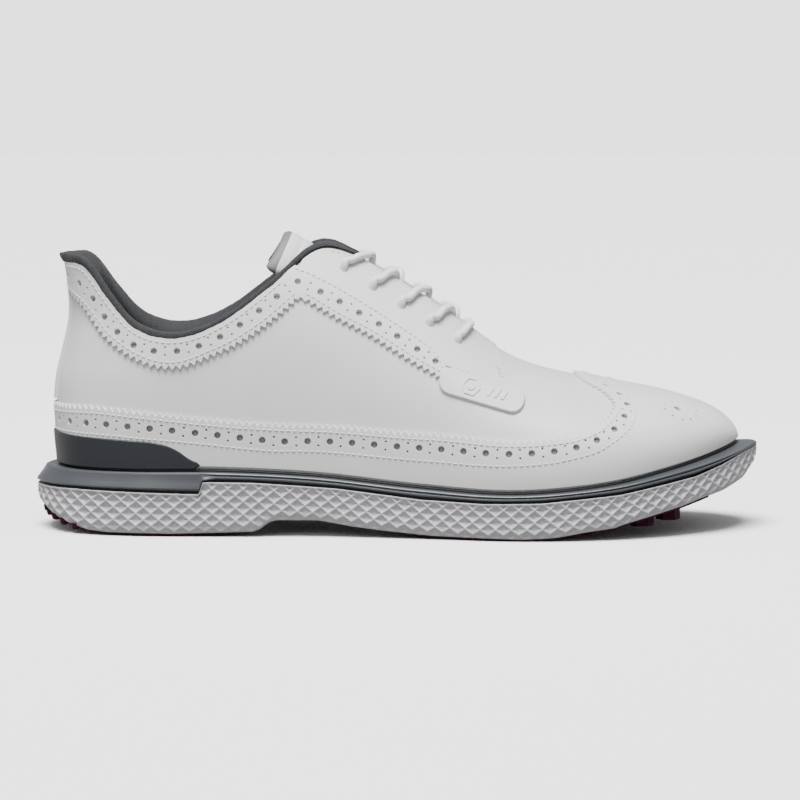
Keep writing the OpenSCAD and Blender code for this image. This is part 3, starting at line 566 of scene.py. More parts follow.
# ---- leather upper
# outlines and rows of holes, each through a few (t, p) points
WING = [(0, 12.4), (0.7, 12.8), (1.5, 13.2), (2.24, 12.2), (2.79, 11), (3.33, 10.5), (3.9, 11), (4.73, 13.8),
        (5.54, 18.5), (6.34, 23.8), (6.66, 26.5), (6.85, 30.2), (7, 35.8), (7.11, 43.5), (7.18, 51.8),
        (7.13, 58.5), (7.03, 65.5), (6.86, 73), (6.76, 82), (6.74, 90)]
WING_LOW = [(0, 7.3), (0.66, 7.3), (1.6, 7.1), (2.29, 6.25), (3.37, 4.4), (3.9, 4.9), (4.73, 6.4),
            (5.54, 8.6), (6.34, 11.8), (6.5, 12.8), (6.7, 14.5), (6.9, 16.8), (7.04, 20.3), (7.23, 26.7),
            (7.36, 34.1), (7.43, 42.7), (7.44, 51.6), (7.4, 62), (7.3, 72), (7.16, 81), (7.1, 90)]
WING_MID = [(0, 9.7), (0.9, 9.6), (1.63, 9.5), (2.29, 8.7), (2.8, 7.7), (3.5, 6.7), (3.9, 7.3), (4.73, 9.8),
            (5.54, 13.3), (6.34, 17.6), (6.59, 19.2), (6.82, 22.4), (7.07, 28.9), (7.25, 39.4), (7.33, 52),
            (7.25, 63.6), (7.08, 72.9), (6.97, 82), (6.93, 90)]
MEDAL = [(7.9, 58.84), (7.89, 51.98), (8.01, 44.29), (8.18, 40.32), (8.33, 41.69), (8.44, 46.88),
         (8.48, 56.69), (8.03, 64.07), (8.44, 66.9)]


def upper_body():
    ts = np.concatenate([np.linspace(0, 9.5, 240), np.linspace(9.53, 9.995, 22)])
    n, m = len(ts), 56
    verts, norms, faces = [], [], []
    cut = int(np.searchsorted(ts, THROAT_T))
    for s in (-1, 1):
        f = np.linspace(0, 1, m) ** 0.9
        tt = np.repeat(ts[:, None], m, 1)
        pp = edge_p(ts)[:, None] * f[None, :]
        g = skin(tt, s, pp, BODY_OFF)
        nn = normal(tt, s, pp, BODY_OFF)
        low = []
        for off, dz in ((-0.9, -1.7), (-4.0, -1.9)):
            x, y = plan(ts, s, off)
            low.append(np.stack([x, y, z_foot(ts) + dz], -1))
        rim = skin(ts, s, edge_p(ts), -1.8)
        allv = np.concatenate([np.stack(low[::-1], 1), g, rim[:, None]], 1)
        dn = np.tile(np.array([0, 0, -1.0]), (n, 1))
        alln = np.concatenate([np.stack([dn, unit(dn + nn[:, 0])], 1), nn, nn[:, -1:]], 1)
        b = len(verts)
        mm = m + 3
        verts += allv.reshape(-1, 3).tolist()
        norms += alln.reshape(-1, 3).tolist()
        q = grid_faces(n, mm, flip=s > 0)
        col, row = q.min(1) % mm, q.min(1) // mm
        q = q[~((col == mm - 2) & (row >= cut))]
        faces += (q + b).tolist()
    return new_mesh("upper_leather", verts, faces, norms, M_LEATHER)


place(upper_body(), "shoe", "leather", "upper_shell")


def small_pair(t, p, s, w, r):
    """Two small holes on either side of (t, p), moved by w and -w."""
    du, dv = jac(t, s, p)
    e1 = unit(du)
    e2 = np.cross(unit(np.cross(du, dv)), e1)
    for v in (-w, w):
        tt, qq = step(t, s, p, v @ e1, v @ e2)
        yield hole(float(tt), float(qq), s, r, 8)


def curve_holes(curve, s, pitch, r_big, r_small, spread, start):
    """A big hole at every pitch along a curve and a pair of small ones half-way to the next."""
    grain = 0.25
    c = resample(curve, grain, s)
    pts = skin(c[:, 0], s, c[:, 1])
    tan = unit(np.gradient(pts, axis=0))
    out = []
    d = start
    while d < len(c) * grain - 3:
        t, p = c[int(d / grain)]
        if 0.03 < t:
            out.append(hole(t, p, s, r_big, 16))
        j = int((d + pitch / 2) / grain)
        if j < len(c) - 8:
            t, p = c[j]
            n = raw_normal(t, s, p)
            out += small_pair(t, p, s, unit(np.cross(n, tan[j])) * spread, r_small)
        d += pitch
    return out


def wing_outline(s):
    ts = np.concatenate([np.linspace(0, 9.4, 150), np.linspace(9.43, 9.995, 16)])
    low = np.stack([ts, np.full(len(ts), 0.2)], -1)
    up = np.stack([np.full(9, 9.995), np.linspace(9, 81, 9)], -1)
    rid = np.stack([np.linspace(9.995, 6.78, 60), np.full(60, 90.0)], -1)
    top = gimp(WING, s, 1)[::-1]
    seam = np.stack([np.zeros(5), np.linspace(10.4, 2.2, 5)], -1)
    return np.concatenate([low, up, rid, top, seam])


def wing_holes(s):
    hs = curve_holes(WING_MID, s, 9.3, 1.6, 0.66, 1.7, 4.65)
    if s < 0:
        hs.append(hole(8.11, 54.46, s, 1.8, 18))
        hs += [hole(t, p, s, 0.78, 9) for t, p in MEDAL]
    return hs


def clear_of(hs):
    """Only the holes that don't cross the top line or the heel line."""
    return [h for h in hs if h[:, 1].max() < 89.5 and h[:, 0].min() > 0.02]


place(panel("wing_tip", wing_outline, lambda s: clear_of(wing_holes(s)), (-1, 1), STRIP_OUT, STRIP_IN,
            M_TRIM, 2.3), "shoe", "leather_trim", "wing_overlay")

SIDES = ((-1, "lateral"), (1, "medial"))
BAND_LOW = [(0, 41.9), (0.41, 40.93), (0.87, 38.5), (1.23, 34.22), (1.51, 30.56), (1.87, 26.81),
            (2.16, 24.48), (2.36, 23.53), (2.59, 23.81), (2.84, 26.09), (3.19, 30.53), (3.53, 37.58),
            (3.8, 45.9)]
BAND_LOW2 = [(3.84, 46.0), (4.17, 42.73), (4.54, 41.0), (4.92, 38.34), (5.19, 37.21)]
BAND_UP = [(3.76, 57.4), (3.98, 56.08), (4.36, 53.52), (4.73, 51.3), (5.11, 48.3), (5.23, 45.5), (5.27, 42.0)]
BAND_BIG = [(0.36, 46.6), (0.81, 44.82), (1.18, 40.73), (1.45, 35.9), (1.71, 32.12), (1.98, 28.97),
            (2.25, 27.56), (2.52, 27.61), (2.76, 29.01), (2.99, 31.67), (3.2, 35.37), (3.4, 39.88),
            (3.58, 44.86), (3.79, 51.27), (4.02, 49.62), (4.21, 48.5), (4.4, 47.31), (4.59, 46.48),
            (4.77, 45.21), (4.97, 43.79), (5.16, 42.6)]


def band_outline(s):
    lo = np.concatenate([gimp(BAND_LOW, s, -1), gimp(BAND_LOW2, s, -1)])
    end = resample([(5.19, 37.21), (5.26, 39.6), (5.27, 42.0)], 0.8, s)[1:-1]
    up = resample(BAND_UP[::-1], 1.6, s)
    tt = np.linspace(3.7, 0, 70)
    col = np.stack([tt, edge_p(tt) + 0.2], -1)
    seam = np.stack([np.zeros(4), np.linspace(49, 43.5, 4)], -1)
    return np.concatenate([lo, end, up, col, seam])


def band_holes(s):
    out = [hole(t, p, s, 1.55, 16) for t, p in BAND_BIG]
    for (t1, p1), (t2, p2) in zip(BAND_BIG[:-1], BAND_BIG[1:]):
        t, p = (t1 + t2) / 2, (p1 + p2) / 2
        n = raw_normal(t, s, p)
        w = unit(np.cross(n, unit(skin(t2, s, p2) - skin(t1, s, p1))))
        out += small_pair(t, p, s, w * 1.6, 0.64)
    return clear_of(out)


def lace_holes(s):
    return [hole(t, p, s, 1.95, 22) for t, p in EYELETS]


for s, nm in SIDES:
    place(panel("collar_strip_" + nm, band_outline, band_holes, (s,), STRIP_OUT, STRIP_IN, M_TRIM, 2.0),
          "shoe", "leather_trim", "collar_band_" + nm)

EYELETS = [(4.25, 64.5), (4.53, 62), (4.81, 60.5), (5.1, 59.5), (5.4, 60.5)]


def facing_outline(s):
    lo = resample([(3.8, 56.4), (3.98, 54.6), (4.36, 52.1), (4.73, 49.9), (5.11, 46.6), (5.25, 43.6)],
                  1.6, s)
    bot = resample([(5.25, 43.6), (5.6, 46.5), (5.94, 50.6)], 1.6, s)[1:]
    fr = resample([(5.94, 50.6), (5.91, 61), (5.86, 72), (5.84, 84)], 1.4, s)[1:]
    tt = np.linspace(5.8, 3.84, 64)
    up = np.stack([tt, edge_p(tt) + 0.1], -1)
    return np.concatenate([lo, bot, fr, up])


for s, nm in SIDES:
    place(panel("lace_facing_" + nm, facing_outline, lace_holes, (s,), FACING_OUT, STRIP_IN, M_TRIM, 1.9),
          "shoe", "leather_trim", "facing_" + nm)


def hole_shade_discs(name, sets, mat):
    """Painted shade in every punched hole: one small dark disc on the leather below."""
    verts, norms, faces = [], [], []
    for s, loops in sets:
        for lp in loops:
            c = lp.mean(0)
            q = np.concatenate([[c], c + (lp - c) * 1.12])
            b, m = len(verts), len(lp)
            verts += skin(q[:, 0], s, q[:, 1], BODY_OFF + 0.07).tolist()
            norms += normal(q[:, 0], s, q[:, 1]).tolist()
            ring = [[b, b + 1 + k, b + 1 + (k + 1) % m] for k in range(m)]
            a, e, f = (np.array(verts[i]) for i in ring[0])
            faces += ring if np.cross(e - a, f - a) @ norms[b] > 0 else [r[::-1] for r in ring]
    return new_mesh(name, verts, faces, norms, mat)


# painted shade: a dark disc in every punched hole
sets = [(s, clear_of(wing_holes(s)) + band_holes(s) + lace_holes(s)) for s in (-1, 1)]
place(hole_shade_discs("punch_shade_discs", sets, M_SHADE), "shoe", "lining_fabric")


def backstay():
    """Strip up the back of the heel, thinned to nothing at its long edges."""
    ps = np.linspace(14, 50.4, 30)
    g = [[skin(abs(q) * 0.22, 1 if q < 0 else -1, p, STRIP_OUT - 1.5 * abs(q) ** 8) for p in ps]
         for q in np.linspace(-1, 1, 11)]
    return new_mesh("backstay_strip", np.array(g).reshape(-1, 3), grid_faces(11, 30), None, M_TRIM)


place(backstay(), "shoe", "leather_trim", "heel_backstay")

# side tab: rounded plate with a plain raised emblem
TAB_C = (35.4, 57.0)  # x and height of its middle in the side view
TILT = math.radians(-16.6)
VIEW_DROP = 0.087  # how much lower a point looks per mm towards the camera


def tab_points(pts, s=-1):
    """(t, p) of points drawn flat, as the tab is seen from its own side."""
    p = np.asarray(pts, float)
    x = TAB_C[0] + p[:, 0] * math.cos(TILT) - p[:, 1] * math.sin(TILT)
    z = TAB_C[1] + p[:, 0] * math.sin(TILT) + p[:, 1] * math.cos(TILT)
    t, q = np.full(len(p), 5.66), np.full(len(p), 41.0)
    for _ in range(12):
        g = skin(t, s, q)
        du, dv = jac(t, s, q)
        ex, ez = x - g[:, 0], z - (g[:, 2] + VIEW_DROP * g[:, 1])
        a, b = du[:, 0], dv[:, 0]
        c, d = du[:, 2] + VIEW_DROP * du[:, 1], dv[:, 2] + VIEW_DROP * dv[:, 1]
        det = a * d - b * c
        t, q = t + (d * ex - b * ez) / det, q + (a * ez - c * ex) / det
    return np.stack([t, q], -1)


def round_rect(w, h, r, n=7):
    out = []
    for q, (i, j) in enumerate(((1, 1), (-1, 1), (-1, -1), (1, -1))):
        for k in range(n):
            a = math.radians(90 * (q + k / (n - 1)))
            out.append((i * (w / 2 - r) + r * math.cos(a), j * (h / 2 - r) + r * math.sin(a)))
    return dense(out)


def dense(pts, d=1.5):
    """The same closed outline with points no more than about d apart."""
    out = []
    for a, b in zip(pts, pts[1:] + pts[:1]):
        k = max(int(math.dist(a, b) / d), 1)
        out += [(a[0] + (b[0] - a[0]) * i / k, a[1] + (b[1] - a[1]) * i / k) for i in range(k)]
    return out


def disc(cx, cz, r, n):
    turn = [2 * math.pi * k / n for k in range(n)]
    return [(cx + r * math.cos(a), cz + r * math.sin(a)) for a in turn]


place(panel("side_tab_plate", tab_points(round_rect(35.2, 9.9, 4.7)), [], (-1,), TAB_OUT, STRIP_IN,
            M_TRIM, 1.4, 0.5), "shoe", "leather_trim", "side_tab")
EMBLEM_X = -4.6
EMBLEM = {"hexagon": (dense(disc(EMBLEM_X, 0, 3.9, 6), 0.6), [dense(disc(EMBLEM_X, 0, 3.2, 6), 0.6)]),
          "dot": (disc(EMBLEM_X, 0, 1.5, 22), [])}
for k in range(3):
    x = 2.6 + 2.9 * k
    bar = [(x, -1.7), (x + 0.9, -1.7), (x + 2.1, 1.7), (x + 1.2, 1.7)]
    EMBLEM["bar_%d" % (k + 1)] = (dense(bar, 0.6), [])
for nm, (edge, cuts) in EMBLEM.items():
    place(panel("side_tab_" + nm, tab_points(edge), [tab_points(c) for c in cuts], (-1,), EMBLEM_OUT, 1.0,
                M_TRIM, 0.7, 0.14), "shoe", "leather_trim")


# ---- stitching
def inset(curve, d, s=-1):
    """A curve moved d mm across itself on the surface, positive upwards."""
    c = resample(curve, 2.0, s)
    p = skin(c[:, 0], s, c[:, 1])
    tan = unit(np.gradient(p, axis=0))
    n = raw_normal(c[:, 0], s, c[:, 1])
    return shift(c, s, unit(np.cross(n, tan)) * (1 if s < 0 else -1) * d)


def collar_line(t0, t1, n, d, s):
    """A row of stitches that follows the collar or the slot, d mm from its edge."""
    tt = np.linspace(t0, t1, n)
    return s, inset(np.stack([tt, edge_p(tt)], -1), d, s)


seams, facing_rows, bars = [], [], []
for s in (-1, 1):
    seams += [(s, inset(WING, -2.1, s)), (s, WING_LOW), (s, inset(BAND_LOW, 2.1, s)),
              (s, inset(BAND_LOW2, 2.1, s)), (s, inset(BAND_UP, -1.3, s)),
              collar_line(0.25, 3.6, 16, -1.6, s)]
    facing_rows += [collar_line(4.1, 5.75, 14, -2.0, s), (s, [(5.88, 76), (5.88, 61.5), (5.91, 52)]),
                    (s, [(5.9, 51.4), (5.6, 47.6), (5.36, 44.4)])]
    bars += [(s, [(5.84 - 0.005 * k, 55.5 + 1.3 * k), (5.90 - 0.005 * k, 55.2 + 1.3 * k)]) for k in range(5)]
for nm, rows, size in (("seam_stitches", seams, (1.7, 0.8, 0.3, 0.1, 0.97)),
                       ("facing_stitches", facing_rows, (1.7, 0.8, 0.26, 0.08, 0.28)),
                       ("facing_bartacks", bars, (1.0, 0.4, 0.32, 0.1, 0.3))):
    place(stitches(nm, rows, M_THREAD, *size), "shoe", "lace_fabric")

# ---- heel cup
CUP = [(0, 6.5), (0.5, 6.35), (1.1, 6.1), (1.6, 5.9), (2.1, 5.6), (2.25, 5.3), (2.36, 4.85), (2.45, 4.2),
       (2.54, 3.2), (2.61, 2.1), (2.68, 1.2), (2.76, 0.5)]


def cup_outline(s):
    top = resample(CUP, 1.2, s)[::-1]
    low = np.stack([np.linspace(0, CUP[-1][0], 54), np.full(54, -0.3)], -1)[:-1]
    return np.concatenate([low, top, np.stack([np.zeros(4), np.linspace(5.4, 1.2, 4)], -1)])


place(panel("heel_cup_shell", cup_outline, [], (-1, 1), 1.75, 0.3, M_CUP, 2.0, 0.6),
      "shoe", "cup_plastic", "heel_cup")


# ---- collar roll and linings
def roll_d(t):
    """How far the roll swells inwards, and below how high it stands above the collar line."""
    return along([5.0, 5.0, 4.2, 3.6, 1.6, 1.2], np.clip(t, 0, 5))


def roll_h(t):
    return along([4.6, 5.0, 4.2, 3.3, 4.6, 3.2], np.clip(t, 0, 5))


def at_collar(s, t, a, u):
    """Point a mm out from the surface and u mm above the collar line."""
    p = edge_p(t)
    e = skin(t, s, p, a)
    up = unit(skin(t, s, p, 0) - skin(t, s, p - 2, 0))
    low = skin(t, s, rise_at(t, e[..., 2] + np.minimum(u, 0)), a)
    return np.where((np.asarray(u) > 0)[..., None], e + np.asarray(u)[..., None] * up, low)


ROLL_END = 4.42  # station where the roll runs out, beside the throat
ROLL_IN = -4.2  # offset of its inner face


def collar_roll():
    """Padded knit roll round the opening: its section swells, tapers at the throat and ripples a little."""
    ts = np.linspace(0, ROLL_END, 170)
    ts = np.concatenate([-ts[:0:-1], ts])
    m = 46
    rows = []
    o = ROLL_IN
    for t in ts:
        s, a = (1.0 if t < 0 else -1.0), abs(t)
        end = min(1, max(0.12, (ROLL_END - a) / 0.22)) ** 0.5
        h, d = float(roll_h(a)) * end, float(roll_d(a)) * end
        tip = max(0, 1 - a / 0.5)
        ctl = np.array([(o, -33), (o - 0.2 * d, -22), (o + 0.3 - 0.75 * d, -12), (o + 0.6 - d, -5),
                        (o + 0.7 - 0.95 * d, -1), (o + 1.2 - 0.7 * d, 0.55 * h), (-2.0 - 0.25 * d, 0.92 * h),
                        (-0.9, h), (0.5 + tip, 0.82 * h), (1.15 + 1.3 * tip, 0.45 * h),
                        (0.9 + 0.6 * tip, 0.05), (0.2, -0.5)])
        u = np.linspace(0, len(ctl) - 1, m)
        out, up = along(ctl[:, 0], u), along(ctl[:, 1], u)
        ripple = 0.10 * math.sin(a * 23 + 1.3) + 0.08 * math.sin(a * 61)
        out = out + ripple * np.sin(np.linspace(0, math.pi, m))
        rows.append(at_collar(s, a, out, up))
    verts = np.array(rows).reshape(-1, 3)
    return new_mesh("collar_roll", verts, grid_faces(len(ts), m, flip=True), None, M_KNIT)


roll = place(collar_roll(), "shoe", "collar_fabric", "collar_lining")


def inner_lining():
    ts = np.concatenate([np.linspace(0, 9.4, 150), np.linspace(9.45, 9.99, 12)])
    n, m = len(ts), 26
    verts, faces = [], []
    for s in (-1, 1):
        off = np.where(ts < 2.6, -4.25, np.where(ts > 8.3, -4.25, -2.95))
        k = np.convolve(np.pad(off, 6, mode="edge"), np.ones(13) / 13, "valid")
        top = np.where(ts < 3.9, rise_at(ts, skin(ts, s, edge_p(ts), -4)[:, 2] - 30), edge_p(ts))
        g = skin(ts[:, None].repeat(m, 1), s, top[:, None] * np.linspace(0, 1, m)[None], k[:, None])
        b = len(verts)
        verts += g.reshape(-1, 3).tolist()
        faces += grid_faces(n, m, flip=s < 0, base=b).tolist()
    return new_mesh("inner_lining", verts, faces, None, M_LINING)


place(inner_lining(), "shoe", "lining_fabric", "vamp_lining")


# ---- tongue
TONGUE_TOP, TONGUE_ROOT = 3.47, 6.05


def tongue():
    """Padded tongue: a flat oval ring at each of 110 stations, with a groove behind the thicker free end."""
    rows_t = [3.42, 3.65, 3.8, 4, 4.15, 4.3, 4.6, 4.9, 5.2, 5.5, 5.8, TONGUE_ROOT]
    rows_p = [57.5, 57.5, 58.5, 60.5, 60.5, 59.5, 59, 59.5, 60, 61, 63, 66]
    m = 72
    a = np.linspace(0, 2 * math.pi, m, endpoint=False)
    c, sn = np.cos(a), np.sin(a)
    f = np.sign(c) * np.abs(c) ** 0.75
    # the free end leans: it starts lower down at the sides than at the middle
    t0 = TONGUE_TOP + 0.17 * (1 - np.abs(f) ** 2.2)
    ring = []
    for u in np.linspace(0, 1, 110):
        t = t0 + (TONGUE_ROOT - t0) * u ** 1.25
        d = (t - t0) * 38
        e = np.sqrt(np.clip(1 - (1 - np.clip(d / 4.2, 0, 1)) ** 2, 0.0008, 1))
        groove = 0.45 * np.exp(-((d - 8.5) / 0.8) ** 2)
        p0 = np.interp(t, rows_t, rows_p)
        top = np.where(t < 4.3, -6.9 + 5.9 * (4.3 - t) / 0.8, np.where(t > 5.5, -6.9 + (t - 5.5) * 2, -6.9))
        thick = (3.0 + 0.7 * np.clip((4.0 - t) / 0.4, 0, 1)) * e
        off = top - 3.2 + (thick - groove) * np.sign(sn) * np.abs(sn) ** 0.62 + 0.2 * np.sin(t * 9 + 2 * f)
        span = (90 - p0) * (0.93 + 0.07 * e)
        ring.append(skin(t, np.where(f > 0, 1.0, -1.0), 90 - span * np.abs(f), off))
    o = sweep("tongue_pad", ring, M_TONGUE)
    o.data.materials.append(M_TONGUE_EDGE_SHADE)
    for face in o.data.polygons:
        if max(face.vertices) < 9 * m:  # the first rings, round the free edge, get the dark tint of painted shade
            face.material_index = 1
    return o


tg = place(tongue(), "tongue", "tongue_leather", "tongue_outer", "tongue_lining", "tongue_foam")


# ---- lace
def lace_controls():
    over, under = 2.35, -4.9

    def at(s, k, dp, f):
        """Near hole k, a share f of the way from under the facing to over it."""
        return skin(EYELETS[k][0], s, EYELETS[k][1] + dp, under + (over - under) * f)

    def rise(s, k):
        return [at(s, k, -1, 0.25), at(s, k, -0.2, 0.6), at(s, k, 0.6, 0.9),
                skin(EYELETS[k][0], s, EYELETS[k][1] + 1.8, over - 0.2)]

    def one(s, k, lift):
        """From hole k on side s, over the slot, under the other facing to hole k + 1."""
        t0, (t1, p1) = EYELETS[k][0], EYELETS[k + 1]

        def tm(f):
            return t0 + (t1 - t0) * f

        low, brink, far = EYELETS[k][1] + 4.5, float(edge_p(tm(0.58))) - 2, float(edge_p(tm(1.08)))
        above = [(0.22, low, over - 0.2), (0.42, low + (brink - low) * 0.55, over), (0.58, brink, over),
                 (0.7, edge_p(tm(0.7)) + 1, over - 0.2), (0.92, 90, lift)]
        below = [(1.06, far + 2.6), (1.1, far - 0.6), (1.08, far + (p1 - far) * 0.4),
                 (1.03, far + (p1 - far) * 0.75)]
        return (rise(s, k) + [skin(tm(f), s, p, off) for f, p, off in above]
                + [skin(tm(f), -s, p, under) for f, p in below] + [skin(t1, -s, p1 - 0.4, under)])

    def chain(s, lift):
        return one(s, 0, lift) + one(-s, 1, lift) + one(s, 2, lift) + one(-s, 3, lift)

    def end(s):
        return rise(s, 4) + [skin(5.44, s, EYELETS[4][1] + 5, over - 0.1), skin(5.5, s, 76, over)]

    def tail(s):
        tucked = ((4.36, 48), (4.33, 51.5), (4.3, 55), (4.27, 58.5), (4.25, 61.5))
        return [skin(t, s, p, under) for t, p in tucked]

    return np.array(tail(-1) + chain(-1, 1.5) + end(-1) + [skin(5.54, -1, 90, 1)] + end(1)[::-1]
                    + chain(1, -1.4)[::-1] + tail(1)[::-1])


CORD_R, BRAID = 1.5, 1.15  # radius of the cord and length of one turn of its braid


def lace():
    """Round braided cord along the route, and its length in mm."""
    c = lace_controls()
    u = np.linspace(0, len(c) - 1, (len(c) - 1) * 16 + 1)
    p = np.stack([along(c[:, k], u) for k in range(3)], -1)
    l = lengths(p)
    w = np.linspace(0, l[-1], int(l[-1] / 0.32))
    p = np.stack([np.interp(w, l, p[:, k]) for k in range(3)], -1)
    k = np.ones(5) / 5
    p = np.stack([np.convolve(np.pad(p[:, q], 2, mode="edge"), k, "valid") for q in range(3)], -1)
    d = unit(np.gradient(p, axis=0))
    a = unit(np.cross(d[0], [0.1, 0.2, 1]))
    rings = []
    m = 20
    th = np.linspace(0, 2 * math.pi, m, endpoint=False)
    for i in range(len(p)):
        a = unit(a - (a @ d[i]) * d[i])
        b = np.cross(d[i], a)
        z = w[i] / BRAID * math.pi
        r = CORD_R + 0.10 * np.cos(5 * th + z) * np.cos(5 * th - z)
        rings.append(p[i] + r[:, None] * (np.cos(th)[:, None] * a + np.sin(th)[:, None] * b))
    return sweep("lace_braid", rings, M_LACE), l[-1]


lace_ob, lace_len = lace()
place(lace_ob, "shoe", "lace_fabric", "lace")
print("lace length mm", round(float(lace_len), 1))

# ---- sole
SOLE_N = 760 if FINE else 420


def both_sides(n):
    """Side of each station of a round: heel to toe on the outer side, and back on the inner one."""
    return np.concatenate([np.full(n + 1, -1.0), np.full(n - 1, 1.0)])


def perimeter(n=SOLE_N):
    """Stations round the sole, even in length: their t, their side and the length of the round."""
    t = np.linspace(0, 10, 2001)
    outer, inner = (lengths(np.stack(plan(t, s, 6), -1)) for s in (-1, 1))
    tl = np.interp(np.linspace(0, outer[-1], n + 1), outer, t)
    even = np.linspace(0, inner[-1], 2001)
    tm = np.interp(np.linspace(inner[-1], 0, n + 1), even, np.interp(even, inner, t))
    return np.concatenate([tl, tm[1:-1]]), both_sides(n), outer[-1] + inner[-1]


PT, PS, PLEN = perimeter()


def level(off, tab, dz):
    """Ring off mm out from the ledge, dz above a height table."""
    x, y = plan(PT, PS, along(LEDGE, PT) + off)
    return np.stack([x, y, lut(tab, x) + dz], -1)


def ring_mesh(name, rings, mat, cap_top=True, cap_low=True):
    """Rings round the sole joined one to the next; a cap joins the two sides across."""
    r = np.array(rings)
    n, m = r.shape[:2]
    f = grid_faces(n, m, wrap_m=True, flip=True).tolist()
    h = m // 2
    for use, b, turn in ((cap_low, 0, True), (cap_top, (n - 1) * m, False)):
        if use:
            for i in range(h):
                a, c = b + i, b + i + 1
                d, e = b + (m - i - 1) % m, b + (m - i) % m
                q = [a, c, d, e]
                q = [v for k, v in enumerate(q) if v not in q[:k]]
                if len(q) > 2:
                    f.append(q[::-1] if turn else q)
    return new_mesh(name, r.reshape(-1, 3), f, None, mat)


def midsole():
    """Foam wall with diamond-shaped pits, closed under the foot."""
    rings = [level(-7.6, LOW, 1.7), level(-7.0, LOW, 0.3), level(-4.0, LOW, 0.15)]
    nz = 44 if FINE else 24
    x0, _ = plan(PT, PS, along(LEDGE, PT))
    lo, hi = lut(LOW, x0), lut(HIGH, x0)
    hi = np.convolve(np.concatenate([hi[-1:], hi, hi[:1]]), np.ones(3) / 3, "valid")
    line = lut(HIGH, np.maximum(x0, STEP_X))  # top of the pattern, which doesn't follow the step
    arc = np.arange(len(PT)) / len(PT) * PLEN
    cell_u, cell_v = PLEN / round(PLEN / 6.3), 5.2
    for f in np.arange(nz + 1) / nz:
        z = lo + 0.2 + (hi - lo - 0.2) * f
        dz = z - lo
        rnd = np.where(dz < 4, -2.6 * (1 - np.clip(dz / 4, 0, 1)) ** 1.8, 0) - 0.5 * f
        lip = np.clip((hi - z - 0.4) / 0.7, 0, 1) * np.clip((dz - 0.6) / 1.0, 0, 1)
        # two families of slanting ridges leave the pits between them
        row = (line - z) / cell_v
        a = np.abs((arc / cell_u + row) % 1 - 0.5) * 2
        b = np.abs((arc / cell_u - row) % 1 - 0.5) * 2
        pit = -(1.1 + 0.8 * f) * np.minimum((1 - np.maximum(a, b)) * 1.7, 1.0) * lip
        x, y = plan(PT, PS, along(LEDGE, PT) + rnd + pit)
        rings.append(np.stack([x, y, z], -1))
    rings += [level(-1.2, HIGH, 0), level(-4.0, HIGH, 0)]
    return ring_mesh("midsole_foam_wall", rings, M_FOAM_W)


place(midsole(), "shoe", "midsole_foam", "midsole")


def frame_ring():
    """Moulded rim between foam and upper: a lipped section in front, a plain flared one round the heel."""
    seat = z_foot(PT) - 1.95
    heel = np.clip((2.95 - PT) / 0.12, 0, 1)
    x0, _ = plan(PT, PS, along(LEDGE, PT))
    mt = lut(HIGH, x0)
    flare = 3.4 * np.clip(1 - PT / 2.8, 0, 1)
    # (offset, share of the height) up the section
    front = [(-3, 0.05), (-2.5, 0.3), (-1.1, 0.33), (-0.45, 0.38), (-0.35, 0.5), (-0.45, 0.6), (-1.35, 0.64),
             (-1.5, 0.7), (-1.15, 0.76), (-1.05, 0.86), (-1.35, 0.96), (-2.2, 1.0), (-4.0, 0.99)]
    back = [(-3, 0.02), (-2.6, 0.12), (-0.9, 0.15), (-0.2, 0.19), (-0.1, 0.26), (-0.35, 0.4), (-0.6, 0.52),
            (-0.8, 0.65), (-0.95, 0.8), (-1.0, 0.9), (-1.15, 0.97), (-1.7, 1.0), (-4.0, 0.985)]
    rings = []
    for (a, f1), (b, f2) in zip(front, back):
        off = a * (1 - heel) + (b - max(f2 - 0.2, 0) / 0.8 * flare) * heel
        x, y = plan(PT, PS, along(LEDGE, PT) + off)
        rings.append(np.stack([x, y, mt + (seat - mt) * (f1 * (1 - heel) + f2 * heel)], -1))
    rings.append(np.stack([*plan(PT, PS, -2.0), seat], -1))
    out = []
    for a, b in zip(rings[:-1], rings[1:]):
        out += [a, a + (b - a) * 0.15, a + (b - a) * 0.85]
    return ring_mesh("sole_frame_rim", out + [rings[-1]], M_FRAME)


place(frame_ring(), "shoe", "frame_plastic", "sole_frame")

rings = [np.stack([*plan(PT, PS, o), z_foot(PT) + dz], -1)
         for o, dz in ((-2.0, -1.93), (-0.2, -1.93), (0.15, -1.7), (0.15, -1.2), (-0.2, -0.9), (-1.2, -0.8))]
place(ring_mesh("welt_line", rings, M_WELT, False, False), "shoe", "frame_plastic")


def sole_trim():
    """Rubber showing under the edge of the foam, with small studs on the heel bevel."""
    verts, faces = [], []
    for s in (-1.0, 1.0):
        for lo, hi in ((4.6, 8.5), (1.0, 3.1)):
            ts = np.linspace(lo, hi, 60)
            b = len(verts)
            for o, dz in ((-2.2, 0.55), (-2.9, -0.3), (-4.5, -0.3), (-7.4, 0.6)):
                x, y = plan(ts, s, along(LEDGE, ts) + o)
                verts += np.stack([x, y, np.maximum(lut(LOW, x) + dz, 0.2)], -1).tolist()
            faces += grid_faces(4, 60, flip=s > 0, base=b).tolist()
        for t, o, r in ((0.18, -4.2, 1.5), (0.42, -3.8, 1.7), (0.66, -3.4, 1.9), (0.88, -3.2, 1.7),
                        (1.12, -3.2, 1.6)):
            x, y = (float(q[0]) for q in plan(np.array([t]), np.array([s]), along(LEDGE, np.array([t])) + o))
            b, z = len(verts), float(lut(LOW, x))
            for dz, k in ((1.6, 1.25), (-0.5, 1.0), (-1.1, 0.7)):
                verts += [(u, v, max(z + dz, 0.3)) for u, v in disc(x, y, k * r, 8)]
            faces += grid_faces(3, 8, wrap_m=True, flip=True, base=b).tolist()
            faces.append([b + 16 + k for k in range(7, -1, -1)])
    return new_mesh("sole_trim", verts, faces, None, M_RUBBER, smooth=False)


place(sole_trim(), "shoe", "outsole_rubber")


